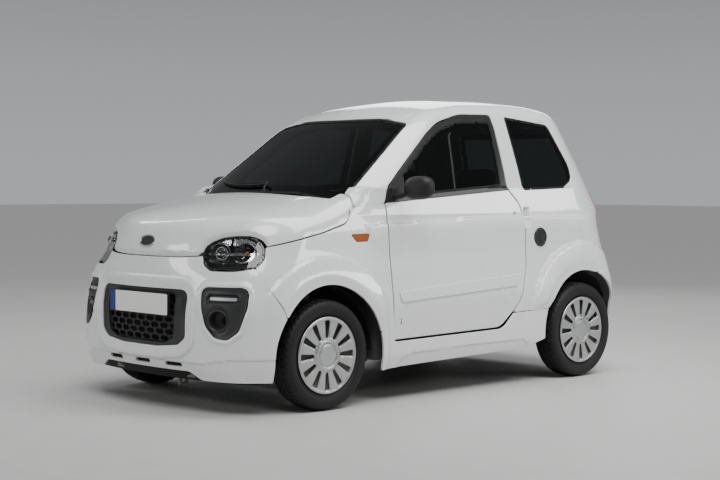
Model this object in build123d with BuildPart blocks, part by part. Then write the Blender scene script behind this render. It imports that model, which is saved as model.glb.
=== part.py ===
from build123d import *
import os
from math import cos, radians, sin

# Small two-seat car. Millimetres. The nose points to -Y, the car's left is +X, the
# ground is Z = 0 and the origin is under the middle of the body.

# ---------------------------------------------------------------- driving sizes
front_axle_y = -910
rear_axle_y = 1015
tyre_radius = 265
tyre_width = 145
rim_radius = 172
cover_radius = 186
wheel_centre_x = 660
kingpin_x = 545
kingpin_radius = 14

wall = 42
skin = 5
seam = 7
fit_gap = 0.3
jamb_step = 15
glass_thickness = 5
glass_inset = 3
run_gap = 0.3

arch_radius_front = 335
arch_radius_rear = 338
flare_radius_front = 432
flare_radius_rear = 486
flare_height = 14
flare_inner_x = 560
rub_height = 5
liner_gap = 12
liner_thickness = 4
liner_inner_x = 395

door_front_y = -465
door_rear_y = 552
door_bottom_z = 304
belt_front_z = 985
belt_rear_z = 1052
sill_bottom_z = 172
sill_top_z = 358

door_axis_x = 712
door_axis_y = -410
door_axis_z = 420
door_axis_lean = 5.7
door_hinge_spacing = 220
hinge_pin_radius = 4.5
hinge_arm_height = 34
bonnet_axis_y = -700
bonnet_axis_z = 975
bonnet_hinge_x = 556
tailgate_axis_y = 1206
tailgate_axis_z = 1434
tailgate_hinge_x = 300

floor_z = 210
floor_thickness = 18
rail_x = 290
rail_width = 60
rail_height = 50

steering_wheel_x = 300
steering_wheel_y = -175
steering_wheel_z = 905
steering_wheel_radius = 178
steering_rim_radius = 14
column_tilt = 28

# Plan of the lower body at rising levels, one half: the nose's middle and corner, where the side
# starts, the side's half width at its front, middle and rear, where it ends, the tail's corner and middle.
# level, nose, corner x, corner y, side start, front x, middle x, rear x, side end, tail x, tail y, tail
lower_levels = [
    (150, -1452, 500, -1405, -1150, 712, 700, 700, 1150, 540, 1395, 1440),
    (240, -1476, 500, -1428, -1160, 728, 724, 722, 1170, 540, 1430, 1474),
    (450, -1490, 500, -1430, -1160, 730, 722, 724, 1170, 540, 1440, 1490),
    (620, -1470, 490, -1396, -1110, 712, 703, 706, 1130, 520, 1425, 1482),
    (760, -1445, 460, -1340, -1020, 688, 687, 692, 1090, 480, 1400, 1466),
    (880, -1425, 440, -1290, -960, 672, 674, 680, 1060, 450, 1385, 1448),
    (1060, -1400, 420, -1250, -900, 640, 645, 652, 1020, 400, 1340, 1402),
]
corner_bulge = 0.38

# Crown of the bonnet at stations along the car: height on the middle line, at the shoulder and at the side.
# station, middle, shoulder, side
bonnet_stations = [
    (-1540, 700, 650, 520),
    (-1450, 812, 772, 640),
    (-1380, 898, 862, 712),
    (-1250, 957, 920, 766),
    (-1050, 1003, 970, 815),
    (-850, 1034, 1004, 868),
    (-740, 1040, 1022, 930),
    (-640, 1060, 1055, 1040),
    (-560, 1300, 1290, 1280),
    (1600, 1300, 1290, 1280),
]
shoulder_x = 450
crown_x = 760

# Plan of the glasshouse at three levels, one half.
# level, screen middle, screen corner x, corner y, side start, side x, side end, rear corner x, corner y, rear
upper_levels = [
    (930, -955, 606, -775, -640, 666, 1090, 380, 1445, 1466),
    (1060, -751, 582, -596, -455, 642, 1040, 345, 1382, 1396),
    (1600, 97, 452, 122, 220, 479, 870, 278, 1093, 1113),
]

# Crown of the roof at stations along the car, as on the bonnet.
roof_stations = [
    (-1000, 1230, 1210, 1160),
    (-600, 1320, 1300, 1245),
    (-180, 1440, 1418, 1362),
    (60, 1512, 1486, 1418),
    (330, 1546, 1518, 1438),
    (680, 1556, 1526, 1436),
    (980, 1530, 1500, 1404),
    (1180, 1470, 1440, 1340),
    (1500, 1330, 1300, 1200),
]
roof_shoulder_x = 400
roof_edge_x = 585

# Outlines seen from the side, as Y and Z
bonnet_side = [(-1560, 724), (-1430, 731), (-1395, 760), (-1210, 776), (-900, 846), (-745, 890), (-686, 965),
               (-660, 1250), (-1560, 1250)]
bonnet_side_radii = [0, 60, 60, 120, 300, 60, 25, 0, 0]
bumper_side = [(-1560, 100), (-1240, 100), (-1157, 425), (-1252, 690), (-1275, 772), (-1395, 760),
               (-1430, 731), (-1560, 724)]
wing_side = [(-1240, 100), (-1157, 425), (-1252, 690), (-1275, 772), (-1210, 776), (-900, 846), (-745, 890),
             (-686, 965), (door_front_y, belt_front_z), (door_front_y, sill_top_z), (-900, sill_top_z), (-900, 100)]
sill_side = [(-700, 130), (-700, sill_top_z), (door_front_y, sill_top_z), (door_front_y, door_bottom_z),
             (345, door_bottom_z + 14), (476, 391), (640, 397), (900, 397), (900, 300), (740, 246), (537, 194),
             (-300, sill_bottom_z)]
frame_side = [(476, 391), (640, 397), (900, 397), (900, 600), (1300, 600), (1345, 590), (1600, 590), (1600, 1700),
              (-1000, 1700), (-1000, 985), (-686, 965), (door_front_y, belt_front_z), (200, 700)]
rear_bumper_side = [(1160, 60), (1160, 600), (1300, 600), (1345, 590), (1600, 590), (1600, 60)]
door_side = [(door_front_y, door_bottom_z), (345, door_bottom_z + 14), (500, 470), (door_rear_y, 640),
             (door_rear_y, 900), (498, belt_rear_z), (408, 1446), (40, 1436), (-112, 1368), (-300, 1195),
             (door_front_y, belt_front_z)]
door_side_radii = [18, 110, 170, 60, 60, 12, 22, 60, 60, 200, 10]
door_window = [(-437, 1004), (424, 1068), (390, 1424), (44, 1414), (-94, 1348), (-280, 1178)]
door_window_radii = [8, 14, 16, 60, 60, 200]
quarter_window = [(562, 1064), (958, 1068), (992, 1140), (868, 1383), (506, 1430)]
quarter_window_radii = [20, 45, 60, 40, 20]

rub_side = [(-423, 543), (489, 598), (460, 535), (-400, 491)]
rub_radii = [18, 14, 14, 18]
indicator_side = [(-765, 796), (-645, 800), (-640, 835), (-753, 832)]
fuel_cap_place = (722, 790)
fuel_cap_radius = 50

# Outlines seen from the front or back, as X and Z
screen_front = [(-590, 986), (-300, 1030), (300, 1030), (590, 986), (496, 1392), (300, 1424), (-300, 1424),
                (-496, 1392)]
screen_radii = [20, 400, 400, 20, 40, 300, 300, 40]
grille_front = [(-341, 585), (341, 585), (330, 345), (230, 302), (-230, 302), (-330, 345)]
grille_radii = [60, 60, 70, 120, 120, 70]
tailgate_back = [(-470, 640), (470, 640), (540, 800), (520, 1050), (425, 1420), (-425, 1420), (-520, 1050),
                 (-540, 800)]
tailgate_radii = [60, 60, 80, 60, 60, 60, 60, 80]
rear_glass_back = [(-470, 1030), (470, 1030), (380, 1385), (-380, 1385)]
rear_glass_radii = [50, 50, 45, 45]
tail_lamp_back = [(556, 812), (720, 812), (720, 1036), (548, 1036)]
tail_lamp_radii = [40, 30, 30, 40]

# Roof panel in plan, as X and Y, the bonnet's rear edge and the scuttle's half width
scuttle_x = 600
wiper_spindle = (120, -802)
roof_plan = [(-425, -120), (0, -168), (425, -120), (418, 600), (400, 1108), (-400, 1108), (-418, 600)]
bonnet_rear_middle = -850
bonnet_rear_corner = (680, -697)

headlamp_centre = (530, 757)
headlamp_turn = 28
headlamp_width = 318
headlamp_height = 162
fog_centre = (528, 472)
fog_turn = 28
fog_outline = [(-125, 118), (125, 118), (118, 10), (50, -112), (-50, -112), (-112, 20)]
fog_radii = [45, 45, 60, 50, 50, 60]


def outline(points, radii=0, margin=0):
    """Closed outline with its corners rounded, grown by a margin."""
    with BuildSketch(Plane.XY) as shape:
        with BuildLine():
            FilletPolyline(*points, radius=radii, close=True)
        make_face()
        if margin:
            offset(amount=margin)
    return shape.sketch


def side_prism(points, radii=0, margin=0, both=False):
    """Solid behind an outline seen from the side, on the car's left or on both sides."""
    with BuildPart() as prism:
        with BuildSketch(Plane.YZ):
            add(outline(points, radii, margin))
        extrude(amount=900, both=both)
    return prism.part


def end_prism(points, radii=0, margin=0, near=0, far=1700):
    """Solid behind an outline seen from the front, from one Y to another."""
    with BuildPart() as prism:
        with BuildSketch(Plane.XZ.offset(-near)):
            add(outline(points, radii, margin))
        extrude(amount=near - far)
    return prism.part


def top_prism(points, radii=0, margin=0, low=900, high=1700):
    """Solid under an outline seen from above, between two heights."""
    with BuildPart() as prism:
        with BuildSketch(Plane.XY.offset(low)):
            add(outline(points, radii, margin))
        extrude(amount=high - low)
    return prism.part


def bulge_point(a, b, corner, share):
    """Middle point of a rounded corner from a to b."""
    mid_x, mid_y = (a[0] + b[0]) / 2, (a[1] + b[1]) / 2
    return mid_x + share * (corner[0] - mid_x), mid_y + share * (corner[1] - mid_y)


def lower_plan(row, grow):
    """Closed plan outline of one level of the lower body."""
    level, nose, nose_x, nose_y, start, front_x, middle_x, rear_x, end, tail_x, tail_y, tail = row
    nose_corner, tail_corner = (nose_x, nose_y - grow), (tail_x, tail_y + grow)
    side_front, side_rear = (front_x + grow, start), (rear_x + grow, end)
    front_bulge = bulge_point(nose_corner, side_front, (side_front[0], nose_corner[1]), corner_bulge)
    rear_bulge = bulge_point(side_rear, tail_corner, (side_rear[0], tail_corner[1]), corner_bulge)
    with BuildSketch(Plane.XY.offset(level)) as plan:
        with BuildLine():
            ThreePointArc((-nose_corner[0], nose_corner[1]), (0, nose - grow), nose_corner)
            ThreePointArc(nose_corner, front_bulge, side_front)
            ThreePointArc(side_front, (middle_x + grow + 2, 60), side_rear)
            ThreePointArc(side_rear, rear_bulge, tail_corner)
            ThreePointArc(tail_corner, (0, tail + grow), (-tail_corner[0], tail_corner[1]))
            ThreePointArc((-tail_corner[0], tail_corner[1]), (-rear_bulge[0], rear_bulge[1]),
                          (-side_rear[0], side_rear[1]))
            ThreePointArc((-side_rear[0], side_rear[1]), (-middle_x - grow - 2, 60),
                          (-side_front[0], side_front[1]))
            ThreePointArc((-side_front[0], side_front[1]), (-front_bulge[0], front_bulge[1]),
                          (-nose_corner[0], nose_corner[1]))
        make_face()
    return plan.sketch


def upper_plan(row, grow):
    """Closed plan outline of one level of the glasshouse."""
    level, nose, nose_x, nose_y, start, side_x, end, tail_x, tail_y, tail = row
    nose_corner, tail_corner = (nose_x + grow / 2, nose_y - grow), (tail_x, tail_y + grow)
    side_front, side_rear = (side_x + grow, start), (side_x + grow - 3, end)
    front_bulge = bulge_point(nose_corner, side_front, (side_front[0], nose_corner[1]), 0.12)
    rear_bulge = bulge_point(side_rear, tail_corner, (side_rear[0], tail_corner[1]), corner_bulge)
    with BuildSketch(Plane.XY.offset(level)) as plan:
        with BuildLine():
            ThreePointArc((-nose_corner[0], nose_corner[1]), (0, nose - grow), nose_corner)
            ThreePointArc(nose_corner, front_bulge, side_front)
            ThreePointArc(side_front, (side_x + grow + 1, (start + end) / 2), side_rear)
            ThreePointArc(side_rear, rear_bulge, tail_corner)
            ThreePointArc(tail_corner, (0, tail + grow), (-tail_corner[0], tail_corner[1]))
            ThreePointArc((-tail_corner[0], tail_corner[1]), (-rear_bulge[0], rear_bulge[1]),
                          (-side_rear[0], side_rear[1]))
            ThreePointArc((-side_rear[0], side_rear[1]), (-side_x - grow - 1, (start + end) / 2),
                          (-side_front[0], side_front[1]))
            ThreePointArc((-side_front[0], side_front[1]), (-front_bulge[0], front_bulge[1]),
                          (-nose_corner[0], nose_corner[1]))
        make_face()
    return plan.sketch


def crown_section(row, grow, shoulder, edge, floor):
    """Arch-topped cross-section at one station."""
    station, middle, high, low = row
    middle, high, low = middle + grow, high + grow, low + grow
    knee = bulge_point((edge, low), (shoulder, high), (edge, high), 0.3)
    with BuildSketch(Plane.XZ.offset(-station)) as section:
        with BuildLine():
            Line((-edge, floor), (edge, floor))
            Line((edge, floor), (edge, low))
            ThreePointArc((edge, low), knee, (shoulder, high))
            ThreePointArc((shoulder, high), (0, middle), (-shoulder, high))
            ThreePointArc((-shoulder, high), (-knee[0], knee[1]), (-edge, low))
            Line((-edge, low), (-edge, floor))
        make_face()
    return section.sketch


def lower_form(grow, deeper=0):
    """The lower body as a full form, grown by an amount, with its bottom lowered if asked."""
    rows = list(lower_levels)
    rows[0] = (rows[0][0] - deeper, *rows[0][1:])
    with BuildPart() as crown:
        loft([crown_section(row, grow, shoulder_x, crown_x, 0) for row in bonnet_stations], ruled=True)
    with BuildPart() as form:
        loft([lower_plan(row, grow) for row in rows], ruled=True)
        add(crown.part, mode=Mode.INTERSECT)
    return form.part


def upper_form(grow):
    """The glasshouse as a full form, grown by an amount."""
    with BuildPart() as roof:
        loft([crown_section(row, grow, roof_shoulder_x, roof_edge_x + 130, 700) for row in roof_stations],
             ruled=True)
    with BuildPart() as form:
        loft([upper_plan(row, grow) for row in upper_levels], ruled=True)
        add(roof.part, mode=Mode.INTERSECT)
    return form.part


# ---------------------------------------------------------------- body shells
with BuildPart() as flares:
    with BuildSketch(Plane.YZ.offset(flare_inner_x)):
        for flare_y, flare_radius in ((front_axle_y, flare_radius_front), (rear_axle_y, flare_radius_rear)):
            with Locations((flare_y, tyre_radius)):
                Circle(flare_radius)
    extrude(amount=300)
    mirror(about=Plane.YZ)
    add(lower_form(flare_height), mode=Mode.INTERSECT)
with BuildPart() as outer:
    add(lower_form(0))
    add(upper_form(0))
    add(flares.part)
with BuildPart() as inner:
    add(lower_form(-wall, 60))
    add(upper_form(-wall))
with BuildPart() as under_skin:
    add(lower_form(-skin, 60))
    add(upper_form(-skin))
with BuildPart() as shell:
    add(outer.part)
    add(inner.part, mode=Mode.SUBTRACT)
with BuildPart() as thin_shell:
    add(outer.part)
    add(under_skin.part, mode=Mode.SUBTRACT)
with BuildPart() as glass_shell:
    add(upper_form(-glass_inset))
    add(upper_form(-glass_inset - glass_thickness), mode=Mode.SUBTRACT)


def arch_cut(axle_y, radius):
    """The round wheel opening on both sides."""
    with BuildPart() as cut:
        with BuildSketch(Plane.YZ):
            with Locations((axle_y, tyre_radius)):
                Circle(radius)
            with Locations((axle_y, 0)):
                Rectangle(2 * radius, 2 * tyre_radius)
        extrude(amount=900, both=True)
    return cut.part


arches = [arch_cut(front_axle_y, arch_radius_front), arch_cut(rear_axle_y, arch_radius_rear)]


def corner_plane(centre, turn):
    """Upright plane facing forward and outward at a front corner."""
    outward = Vector(sin(radians(turn)), -cos(radians(turn)), 0)
    start = Vector(centre[0], -1300, centre[1]) - outward * 400
    return Plane(origin=start, x_dir=(cos(radians(turn)), sin(radians(turn)), 0), z_dir=outward)


def headlamp_prism(margin):
    with BuildPart() as prism:
        with BuildSketch(corner_plane(headlamp_centre, headlamp_turn)):
            with Locations((0, 0)):
                RectangleRounded(headlamp_width + 2 * margin, headlamp_height + 2 * margin, 76)
        extrude(amount=800)
    return prism.part


def fog_prism(margin):
    with BuildPart() as prism:
        with BuildSketch(corner_plane(fog_centre, fog_turn)):
            add(outline(fog_outline, fog_radii, margin))
        extrude(amount=800)
    return prism.part


def both_sides(piece):
    """A left piece and its mirror image."""
    with BuildPart() as pair:
        add(piece)
        mirror(about=Plane.YZ)
    return pair.part


def box_between(low, high):
    """Box between two corners."""
    with BuildPart() as box:
        with Locations(((low[0] + high[0]) / 2, (low[1] + high[1]) / 2, (low[2] + high[2]) / 2)):
            Box(high[0] - low[0], high[1] - low[1], high[2] - low[2])
    return box.part


def rod(start, end, radius):
    """Round bar between two points."""
    along = Vector(*end) - Vector(*start)
    with BuildPart() as bar:
        with BuildSketch(Plane(origin=start, z_dir=along)):
            Circle(radius)
        extrude(amount=along.length)
    return bar.part


def mirrored(piece):
    """The right-hand twin of a left piece."""
    with BuildPart() as twin:
        mirror(piece, about=Plane.YZ)
    return twin.part


def keep_largest(piece):
    """The largest solid of a cut piece."""
    with BuildPart() as largest:
        add(piece.solids().sort_by(SortBy.VOLUME)[-1])
    return largest.part


def write(piece, name):
    piece.label = name
    export_step(piece, "parts/" + name + ".step")
    print(name, len(piece.solids()), round(piece.volume))


os.makedirs("parts", exist_ok=True)
head_cut = both_sides(headlamp_prism(fit_gap))
fog_cut = both_sides(fog_prism(fit_gap))

# ---------------------------------------------------------------- front panels
with BuildPart() as front_bumper:
    add(shell.part)
    add(side_prism(bumper_side, 0, -fit_gap / 2, both=True), mode=Mode.INTERSECT)
    add(arches[0], mode=Mode.SUBTRACT)
    add(head_cut, mode=Mode.SUBTRACT)
    add(fog_cut, mode=Mode.SUBTRACT)
    add(end_prism(grille_front, grille_radii, fit_gap, -1700, -1200), mode=Mode.SUBTRACT)
    add(side_prism(bonnet_side, bonnet_side_radii, seam, both=True), mode=Mode.SUBTRACT)
write(keep_largest(front_bumper.part), "front_bumper")

with BuildPart() as wing:
    add(shell.part)
    add(side_prism(wing_side, 0, -fit_gap / 2), mode=Mode.INTERSECT)
    add(arches[0], mode=Mode.SUBTRACT)
    add(head_cut, mode=Mode.SUBTRACT)
    add(side_prism(door_side, door_side_radii, seam), mode=Mode.SUBTRACT)
    add(side_prism(bonnet_side, bonnet_side_radii, seam), mode=Mode.SUBTRACT)
    add(side_prism(indicator_side, 6, fit_gap), mode=Mode.SUBTRACT)
write(both_sides(keep_largest(wing.part)), "front_wings")
with BuildPart() as indicator:
    add(shell.part)
    add(side_prism(indicator_side, 6), mode=Mode.INTERSECT)
write(both_sides(indicator.part), "side_indicators")

bonnet_step = 14
bonnet_frame_rear_y = -965
with BuildPart() as bonnet_arm:
    add(box_between((bonnet_hinge_x - 6, bonnet_axis_y - 120, bonnet_axis_z - 11),
                    (bonnet_hinge_x + 6, bonnet_axis_y - 50, bonnet_axis_z + 80)))
    add(under_skin.part, mode=Mode.INTERSECT)
    add(box_between((bonnet_hinge_x - 6, bonnet_axis_y - 60, bonnet_axis_z - 11),
                    (bonnet_hinge_x + 6, bonnet_axis_y, bonnet_axis_z - 3)))
    add(rod((bonnet_hinge_x - 6, bonnet_axis_y, bonnet_axis_z), (bonnet_hinge_x + 6, bonnet_axis_y, bonnet_axis_z), 11))
    add(rod((bonnet_hinge_x - 15, bonnet_axis_y, bonnet_axis_z), (bonnet_hinge_x + 15, bonnet_axis_y, bonnet_axis_z),
            5 + run_gap), mode=Mode.SUBTRACT)
with BuildPart() as bonnet_frame:
    add(shell.part)
    add(side_prism(bonnet_side, bonnet_side_radii, -bonnet_step, both=True), mode=Mode.INTERSECT)
    add(box_between((-900, -1700, 0), (900, bonnet_frame_rear_y, 1700)), mode=Mode.INTERSECT)
with BuildPart() as bonnet:
    add(thin_shell.part)
    add(side_prism(bonnet_side, bonnet_side_radii, both=True), mode=Mode.INTERSECT)
    add(bonnet_frame.part)
    with BuildSketch(Plane.XY.offset(600)):
        with BuildLine():
            corner_x, corner_y = bonnet_rear_corner
            ThreePointArc((-corner_x, corner_y), (0, bonnet_rear_middle), (corner_x, corner_y))
            Polyline((corner_x, corner_y), (900, corner_y), (900, -1600), (-900, -1600), (-900, corner_y),
                     (-corner_x, corner_y))
        make_face()
    extrude(amount=700, mode=Mode.INTERSECT)
    add(both_sides(headlamp_prism(seam)), mode=Mode.SUBTRACT)
    add(both_sides(bonnet_arm.part))
bonnet_part = keep_largest(bonnet.part)
write(bonnet_part, "bonnet")

# ---------------------------------------------------------------- sides
with BuildPart() as sill:
    add(shell.part)
    add(side_prism(sill_side, 0, -fit_gap / 2), mode=Mode.INTERSECT)
    add(arches[0], mode=Mode.SUBTRACT)
    add(arches[1], mode=Mode.SUBTRACT)
    add(side_prism(door_side, door_side_radii, seam), mode=Mode.SUBTRACT)
write(both_sides(keep_largest(sill.part)), "sills")

# ---------------------------------------------------------------- structure
with BuildPart() as cavity:
    add(lower_form(-wall - fit_gap, 60))
    add(upper_form(-wall - fit_gap))


def door_axis_plane(height):
    """Plane across the left door's hinge axis at a height."""
    lean = radians(door_axis_lean)
    drop = height - door_axis_z
    origin = (door_axis_x - drop * sin(lean) / cos(lean), door_axis_y, height)
    return Plane(origin=origin, x_dir=(cos(lean), 0, sin(lean)), z_dir=(-sin(lean), 0, cos(lean)))


hinge_heights = [door_axis_z, door_axis_z + door_hinge_spacing]
post_rear_y = door_front_y - seam - 3
arm_reach = 66
arm_width = 22


def hinge_arm(height):
    """Fixed arm of one left door hinge, from the pillar round to the pin, with the pin."""
    plane = door_axis_plane(height)
    with BuildPart() as arm:
        with BuildSketch(plane.offset(-hinge_arm_height / 2)):
            Circle(7)
            with Locations((-arm_reach / 2, 0)):
                Rectangle(arm_reach, 14)
            with Locations((-arm_reach - arm_width / 2, (post_rear_y - 12 - door_axis_y) / 2)):
                Rectangle(arm_width, door_axis_y - post_rear_y + 26)
        extrude(amount=hinge_arm_height)
        with BuildSketch(plane.offset(-hinge_arm_height / 2 - 20)):
            Circle(hinge_pin_radius)
        extrude(amount=hinge_arm_height + 40)
    return arm.part


def hinge_pocket(height):
    """Room for one hinge arm and its pin inside the left door."""
    plane = door_axis_plane(height)
    with BuildPart() as room:
        with BuildSketch(plane.offset(-hinge_arm_height / 2 - 2)):
            with Locations((-61, -30)):
                Rectangle(140, 80)
        extrude(amount=hinge_arm_height + 4)
        with BuildSketch(plane.offset(-hinge_arm_height / 2 - 22)):
            Circle(hinge_pin_radius + run_gap)
        extrude(amount=hinge_arm_height + 44)
    return room.part


firewall_y = -560
firewall_thickness = 15
firewall_top_z = 936
luggage_z = 420
riser_y = 660
with BuildPart() as pan_full:
    add(box_between((-800, firewall_y, floor_z), (800, riser_y, floor_z + floor_thickness)))
    add(box_between((-800, firewall_y, floor_z), (800, firewall_y + firewall_thickness, firewall_top_z)))
    add(box_between((-800, riser_y - 15, floor_z), (800, riser_y, luggage_z + 15)))
    add(box_between((-384, riser_y - 15, luggage_z), (384, 1600, luggage_z + 15)))
    add(box_between((590, firewall_y, floor_z), (800, post_rear_y, firewall_top_z)))
    add(box_between((-800, firewall_y, floor_z), (-590, post_rear_y, firewall_top_z)))
    add(cavity.part, mode=Mode.INTERSECT)
bonnet_bracket = box_between((bonnet_hinge_x + 9, bonnet_axis_y - 12, firewall_top_z - 11),
                             (bonnet_hinge_x + 21, firewall_y + firewall_thickness, bonnet_axis_z + 10))
bonnet_pin = rod((bonnet_hinge_x - 7, bonnet_axis_y, bonnet_axis_z),
                 (bonnet_hinge_x + 15, bonnet_axis_y, bonnet_axis_z), 5)
with BuildPart() as pan_fittings:
    add(bonnet_bracket)
    add(bonnet_pin)
    for height in hinge_heights:
        add(hinge_arm(height))
with BuildPart() as floor_pan:
    add(pan_full.part)
    add(both_sides(pan_fittings.part))
write(keep_largest(floor_pan.part), "floor_pan")

rail_low_z = floor_z - rail_height - fit_gap
rail_top_z = floor_z - fit_gap
cross_members = [-600, 620]
end_members = [-1330, 1360]
member_width = 50
tow_eye_x = 150
tow_eye_radius = 12
tow_eye_drop = 32
jack_pad_y = -300
jack_pad_drop = 8
rail_inner_x = rail_x - rail_width / 2
with BuildPart() as rail:
    add(box_between((rail_inner_x, -1390, rail_low_z), (rail_x + rail_width / 2, 1386, rail_top_z)))
write(both_sides(rail.part), "chassis_frame")
with BuildPart() as jack_pad:
    add(box_between((rail_inner_x + 3, jack_pad_y - 40, rail_low_z - jack_pad_drop),
                    (rail_x + rail_width / 2 - 3, jack_pad_y + 40, rail_low_z - fit_gap)))
write(both_sides(jack_pad.part), "jack_pads")
with BuildPart() as members:
    for y in cross_members:
        add(box_between((-rail_inner_x + fit_gap, y - member_width / 2, rail_low_z),
                        (rail_inner_x - fit_gap, y + member_width / 2, rail_top_z)))
write(members.part, "cross_members")
with BuildPart() as tow_members:
    for y in end_members:
        add(box_between((-rail_inner_x + fit_gap, y - member_width / 2, rail_low_z),
                        (rail_inner_x - fit_gap, y + member_width / 2, rail_top_z)))
        add(box_between((tow_eye_x - 6, y - member_width / 2, rail_low_z - tow_eye_drop - 20),
                        (tow_eye_x + 6, y + member_width / 2, rail_top_z)))
        with Locations(Plane(origin=(tow_eye_x, y, rail_low_z - tow_eye_drop), z_dir=(1, 0, 0))):
            Cylinder(tow_eye_radius, 40, mode=Mode.SUBTRACT)
write(tow_members.part, "tow_members")


def arch_liner(axle_y, radius):
    """Liner over one left wheel, with its inner wall."""
    centre = Plane.YZ.offset(liner_inner_x)
    with BuildPart() as liner:
        with BuildSketch(centre):
            with Locations((axle_y, tyre_radius)):
                Circle(radius - fit_gap)
        extrude(amount=280)
        with BuildSketch(centre.offset(liner_thickness)):
            with Locations((axle_y, tyre_radius)):
                Circle(radius - fit_gap - liner_thickness)
        extrude(amount=300, mode=Mode.SUBTRACT)
        add(box_between((0, axle_y - 500, 0), (900, axle_y + 500, 262)), mode=Mode.SUBTRACT)
        add(box_between((380, axle_y - 46, 0), (430, axle_y + 46, 330)), mode=Mode.SUBTRACT)
    return liner.part


with BuildPart() as liners:
    add(arch_liner(front_axle_y, arch_radius_front))
    add(arch_liner(rear_axle_y, arch_radius_rear))
with BuildPart() as liners_trimmed:
    add(liners.part)
    add(cavity.part, mode=Mode.INTERSECT)
write(both_sides(liners_trimmed.part), "arch_liners")

screen_prism = end_prism(screen_front, screen_radii, 0, -1000, 150)
tailgate_prism = end_prism(tailgate_back, tailgate_radii, seam, 1020, 1700)
lamp_prism = end_prism(tail_lamp_back, tail_lamp_radii, 0, 1050, 1700)
with BuildPart() as side_frame:
    add(shell.part)
    add(side_prism(frame_side, 0, -fit_gap / 2), mode=Mode.INTERSECT)
    add(arches[1], mode=Mode.SUBTRACT)
    add(side_prism(door_side, door_side_radii, seam), mode=Mode.SUBTRACT)
    add(side_prism(quarter_window, quarter_window_radii, fit_gap), mode=Mode.SUBTRACT)
    add(end_prism(screen_front, screen_radii, fit_gap, -1000, 150), mode=Mode.SUBTRACT)
    add(tailgate_prism, mode=Mode.SUBTRACT)
    add(top_prism(roof_plan, 0, fit_gap, 1300), mode=Mode.SUBTRACT)
    add(end_prism(tail_lamp_back, tail_lamp_radii, fit_gap, 1050, 1700), mode=Mode.SUBTRACT)
    add(box_between((-scuttle_x, -1000, 850), (scuttle_x, -450, 1120)), mode=Mode.SUBTRACT)
    add(side_prism(bonnet_side, bonnet_side_radii, seam), mode=Mode.SUBTRACT)
    add(box_between((tailgate_hinge_x - 11, 1180, 1415), (tailgate_hinge_x + 11, 1240, 1448)), mode=Mode.SUBTRACT)
    fuel_hole = rod((500, *fuel_cap_place), (800, *fuel_cap_place), fuel_cap_radius + fit_gap)
    for low_x in (tailgate_hinge_x - 30, tailgate_hinge_x + 12):
        add(box_between((low_x, 1178, tailgate_axis_z - 7), (low_x + 18, tailgate_axis_y, tailgate_axis_z + 7)))
        add(rod((low_x, tailgate_axis_y, tailgate_axis_z), (low_x + 18, tailgate_axis_y, tailgate_axis_z), 9))
    add(rod((tailgate_hinge_x - 20, tailgate_axis_y, tailgate_axis_z),
            (tailgate_hinge_x + 20, tailgate_axis_y, tailgate_axis_z), 4))
side_frame_part = keep_largest(side_frame.part)
with BuildPart() as side_frames:
    add(both_sides(side_frame_part))
    add(fuel_hole, mode=Mode.SUBTRACT)
write(side_frames.part, "side_frames")
with BuildPart() as fuel_cap:
    add(shell.part)
    add(rod((500, *fuel_cap_place), (800, *fuel_cap_place), fuel_cap_radius), mode=Mode.INTERSECT)
write(fuel_cap.part, "fuel_cap")

with BuildPart() as scuttle:
    add(shell.part)
    add(box_between((-scuttle_x + fit_gap, -1000, 850), (scuttle_x - fit_gap, -450, 1120)), mode=Mode.INTERSECT)
    add(end_prism(screen_front, screen_radii, fit_gap, -1000, 150), mode=Mode.SUBTRACT)
    with BuildSketch(Plane.XY.offset(600)):
        with BuildLine():
            corner_x, corner_y = bonnet_rear_corner
            ThreePointArc((-corner_x, corner_y + seam), (0, bonnet_rear_middle + seam), (corner_x, corner_y + seam))
            Polyline((corner_x, corner_y + seam), (900, corner_y + seam), (900, -1600), (-900, -1600),
                     (-900, corner_y + seam), (-corner_x, corner_y + seam))
        make_face()
    extrude(amount=700, mode=Mode.SUBTRACT)
    add(rod((*wiper_spindle, 900), (*wiper_spindle, 1100), 8 + fit_gap), mode=Mode.SUBTRACT)
    add(both_sides(box_between((bonnet_hinge_x - 24, -1000, 800), (700, -450, 1200))), mode=Mode.SUBTRACT)
write(keep_largest(scuttle.part), "scuttle")

with BuildPart() as roof_panel:
    add(shell.part)
    add(top_prism(roof_plan, 0, 0, 1300), mode=Mode.INTERSECT)
    add(end_prism(screen_front, screen_radii, fit_gap, -1000, 150), mode=Mode.SUBTRACT)
    add(tailgate_prism, mode=Mode.SUBTRACT)
write(keep_largest(roof_panel.part), "roof_panel")

with BuildPart() as door:
    add(shell.part)
    add(side_prism(door_side, door_side_radii, -jamb_step), mode=Mode.INTERSECT)
with BuildPart() as door_skin:
    add(thin_shell.part)
    add(side_prism(door_side, door_side_radii), mode=Mode.INTERSECT)
with BuildPart() as door_rub:
    add(lower_form(rub_height))
    add(side_prism(rub_side, rub_radii), mode=Mode.INTERSECT)
    add(under_skin.part, mode=Mode.SUBTRACT)
with BuildPart() as hinge_pockets:
    for height in hinge_heights:
        add(hinge_pocket(height))
    add(under_skin.part, mode=Mode.INTERSECT)
with BuildPart() as door_whole:
    add(door.part)
    add(door_skin.part)
    add(door_rub.part)
    add(side_prism(door_window, door_window_radii), mode=Mode.SUBTRACT)
    add(hinge_pockets.part, mode=Mode.SUBTRACT)
door_part = keep_largest(door_whole.part)
write(door_part, "door_left")
write(mirrored(door_part), "door_right")

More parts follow.
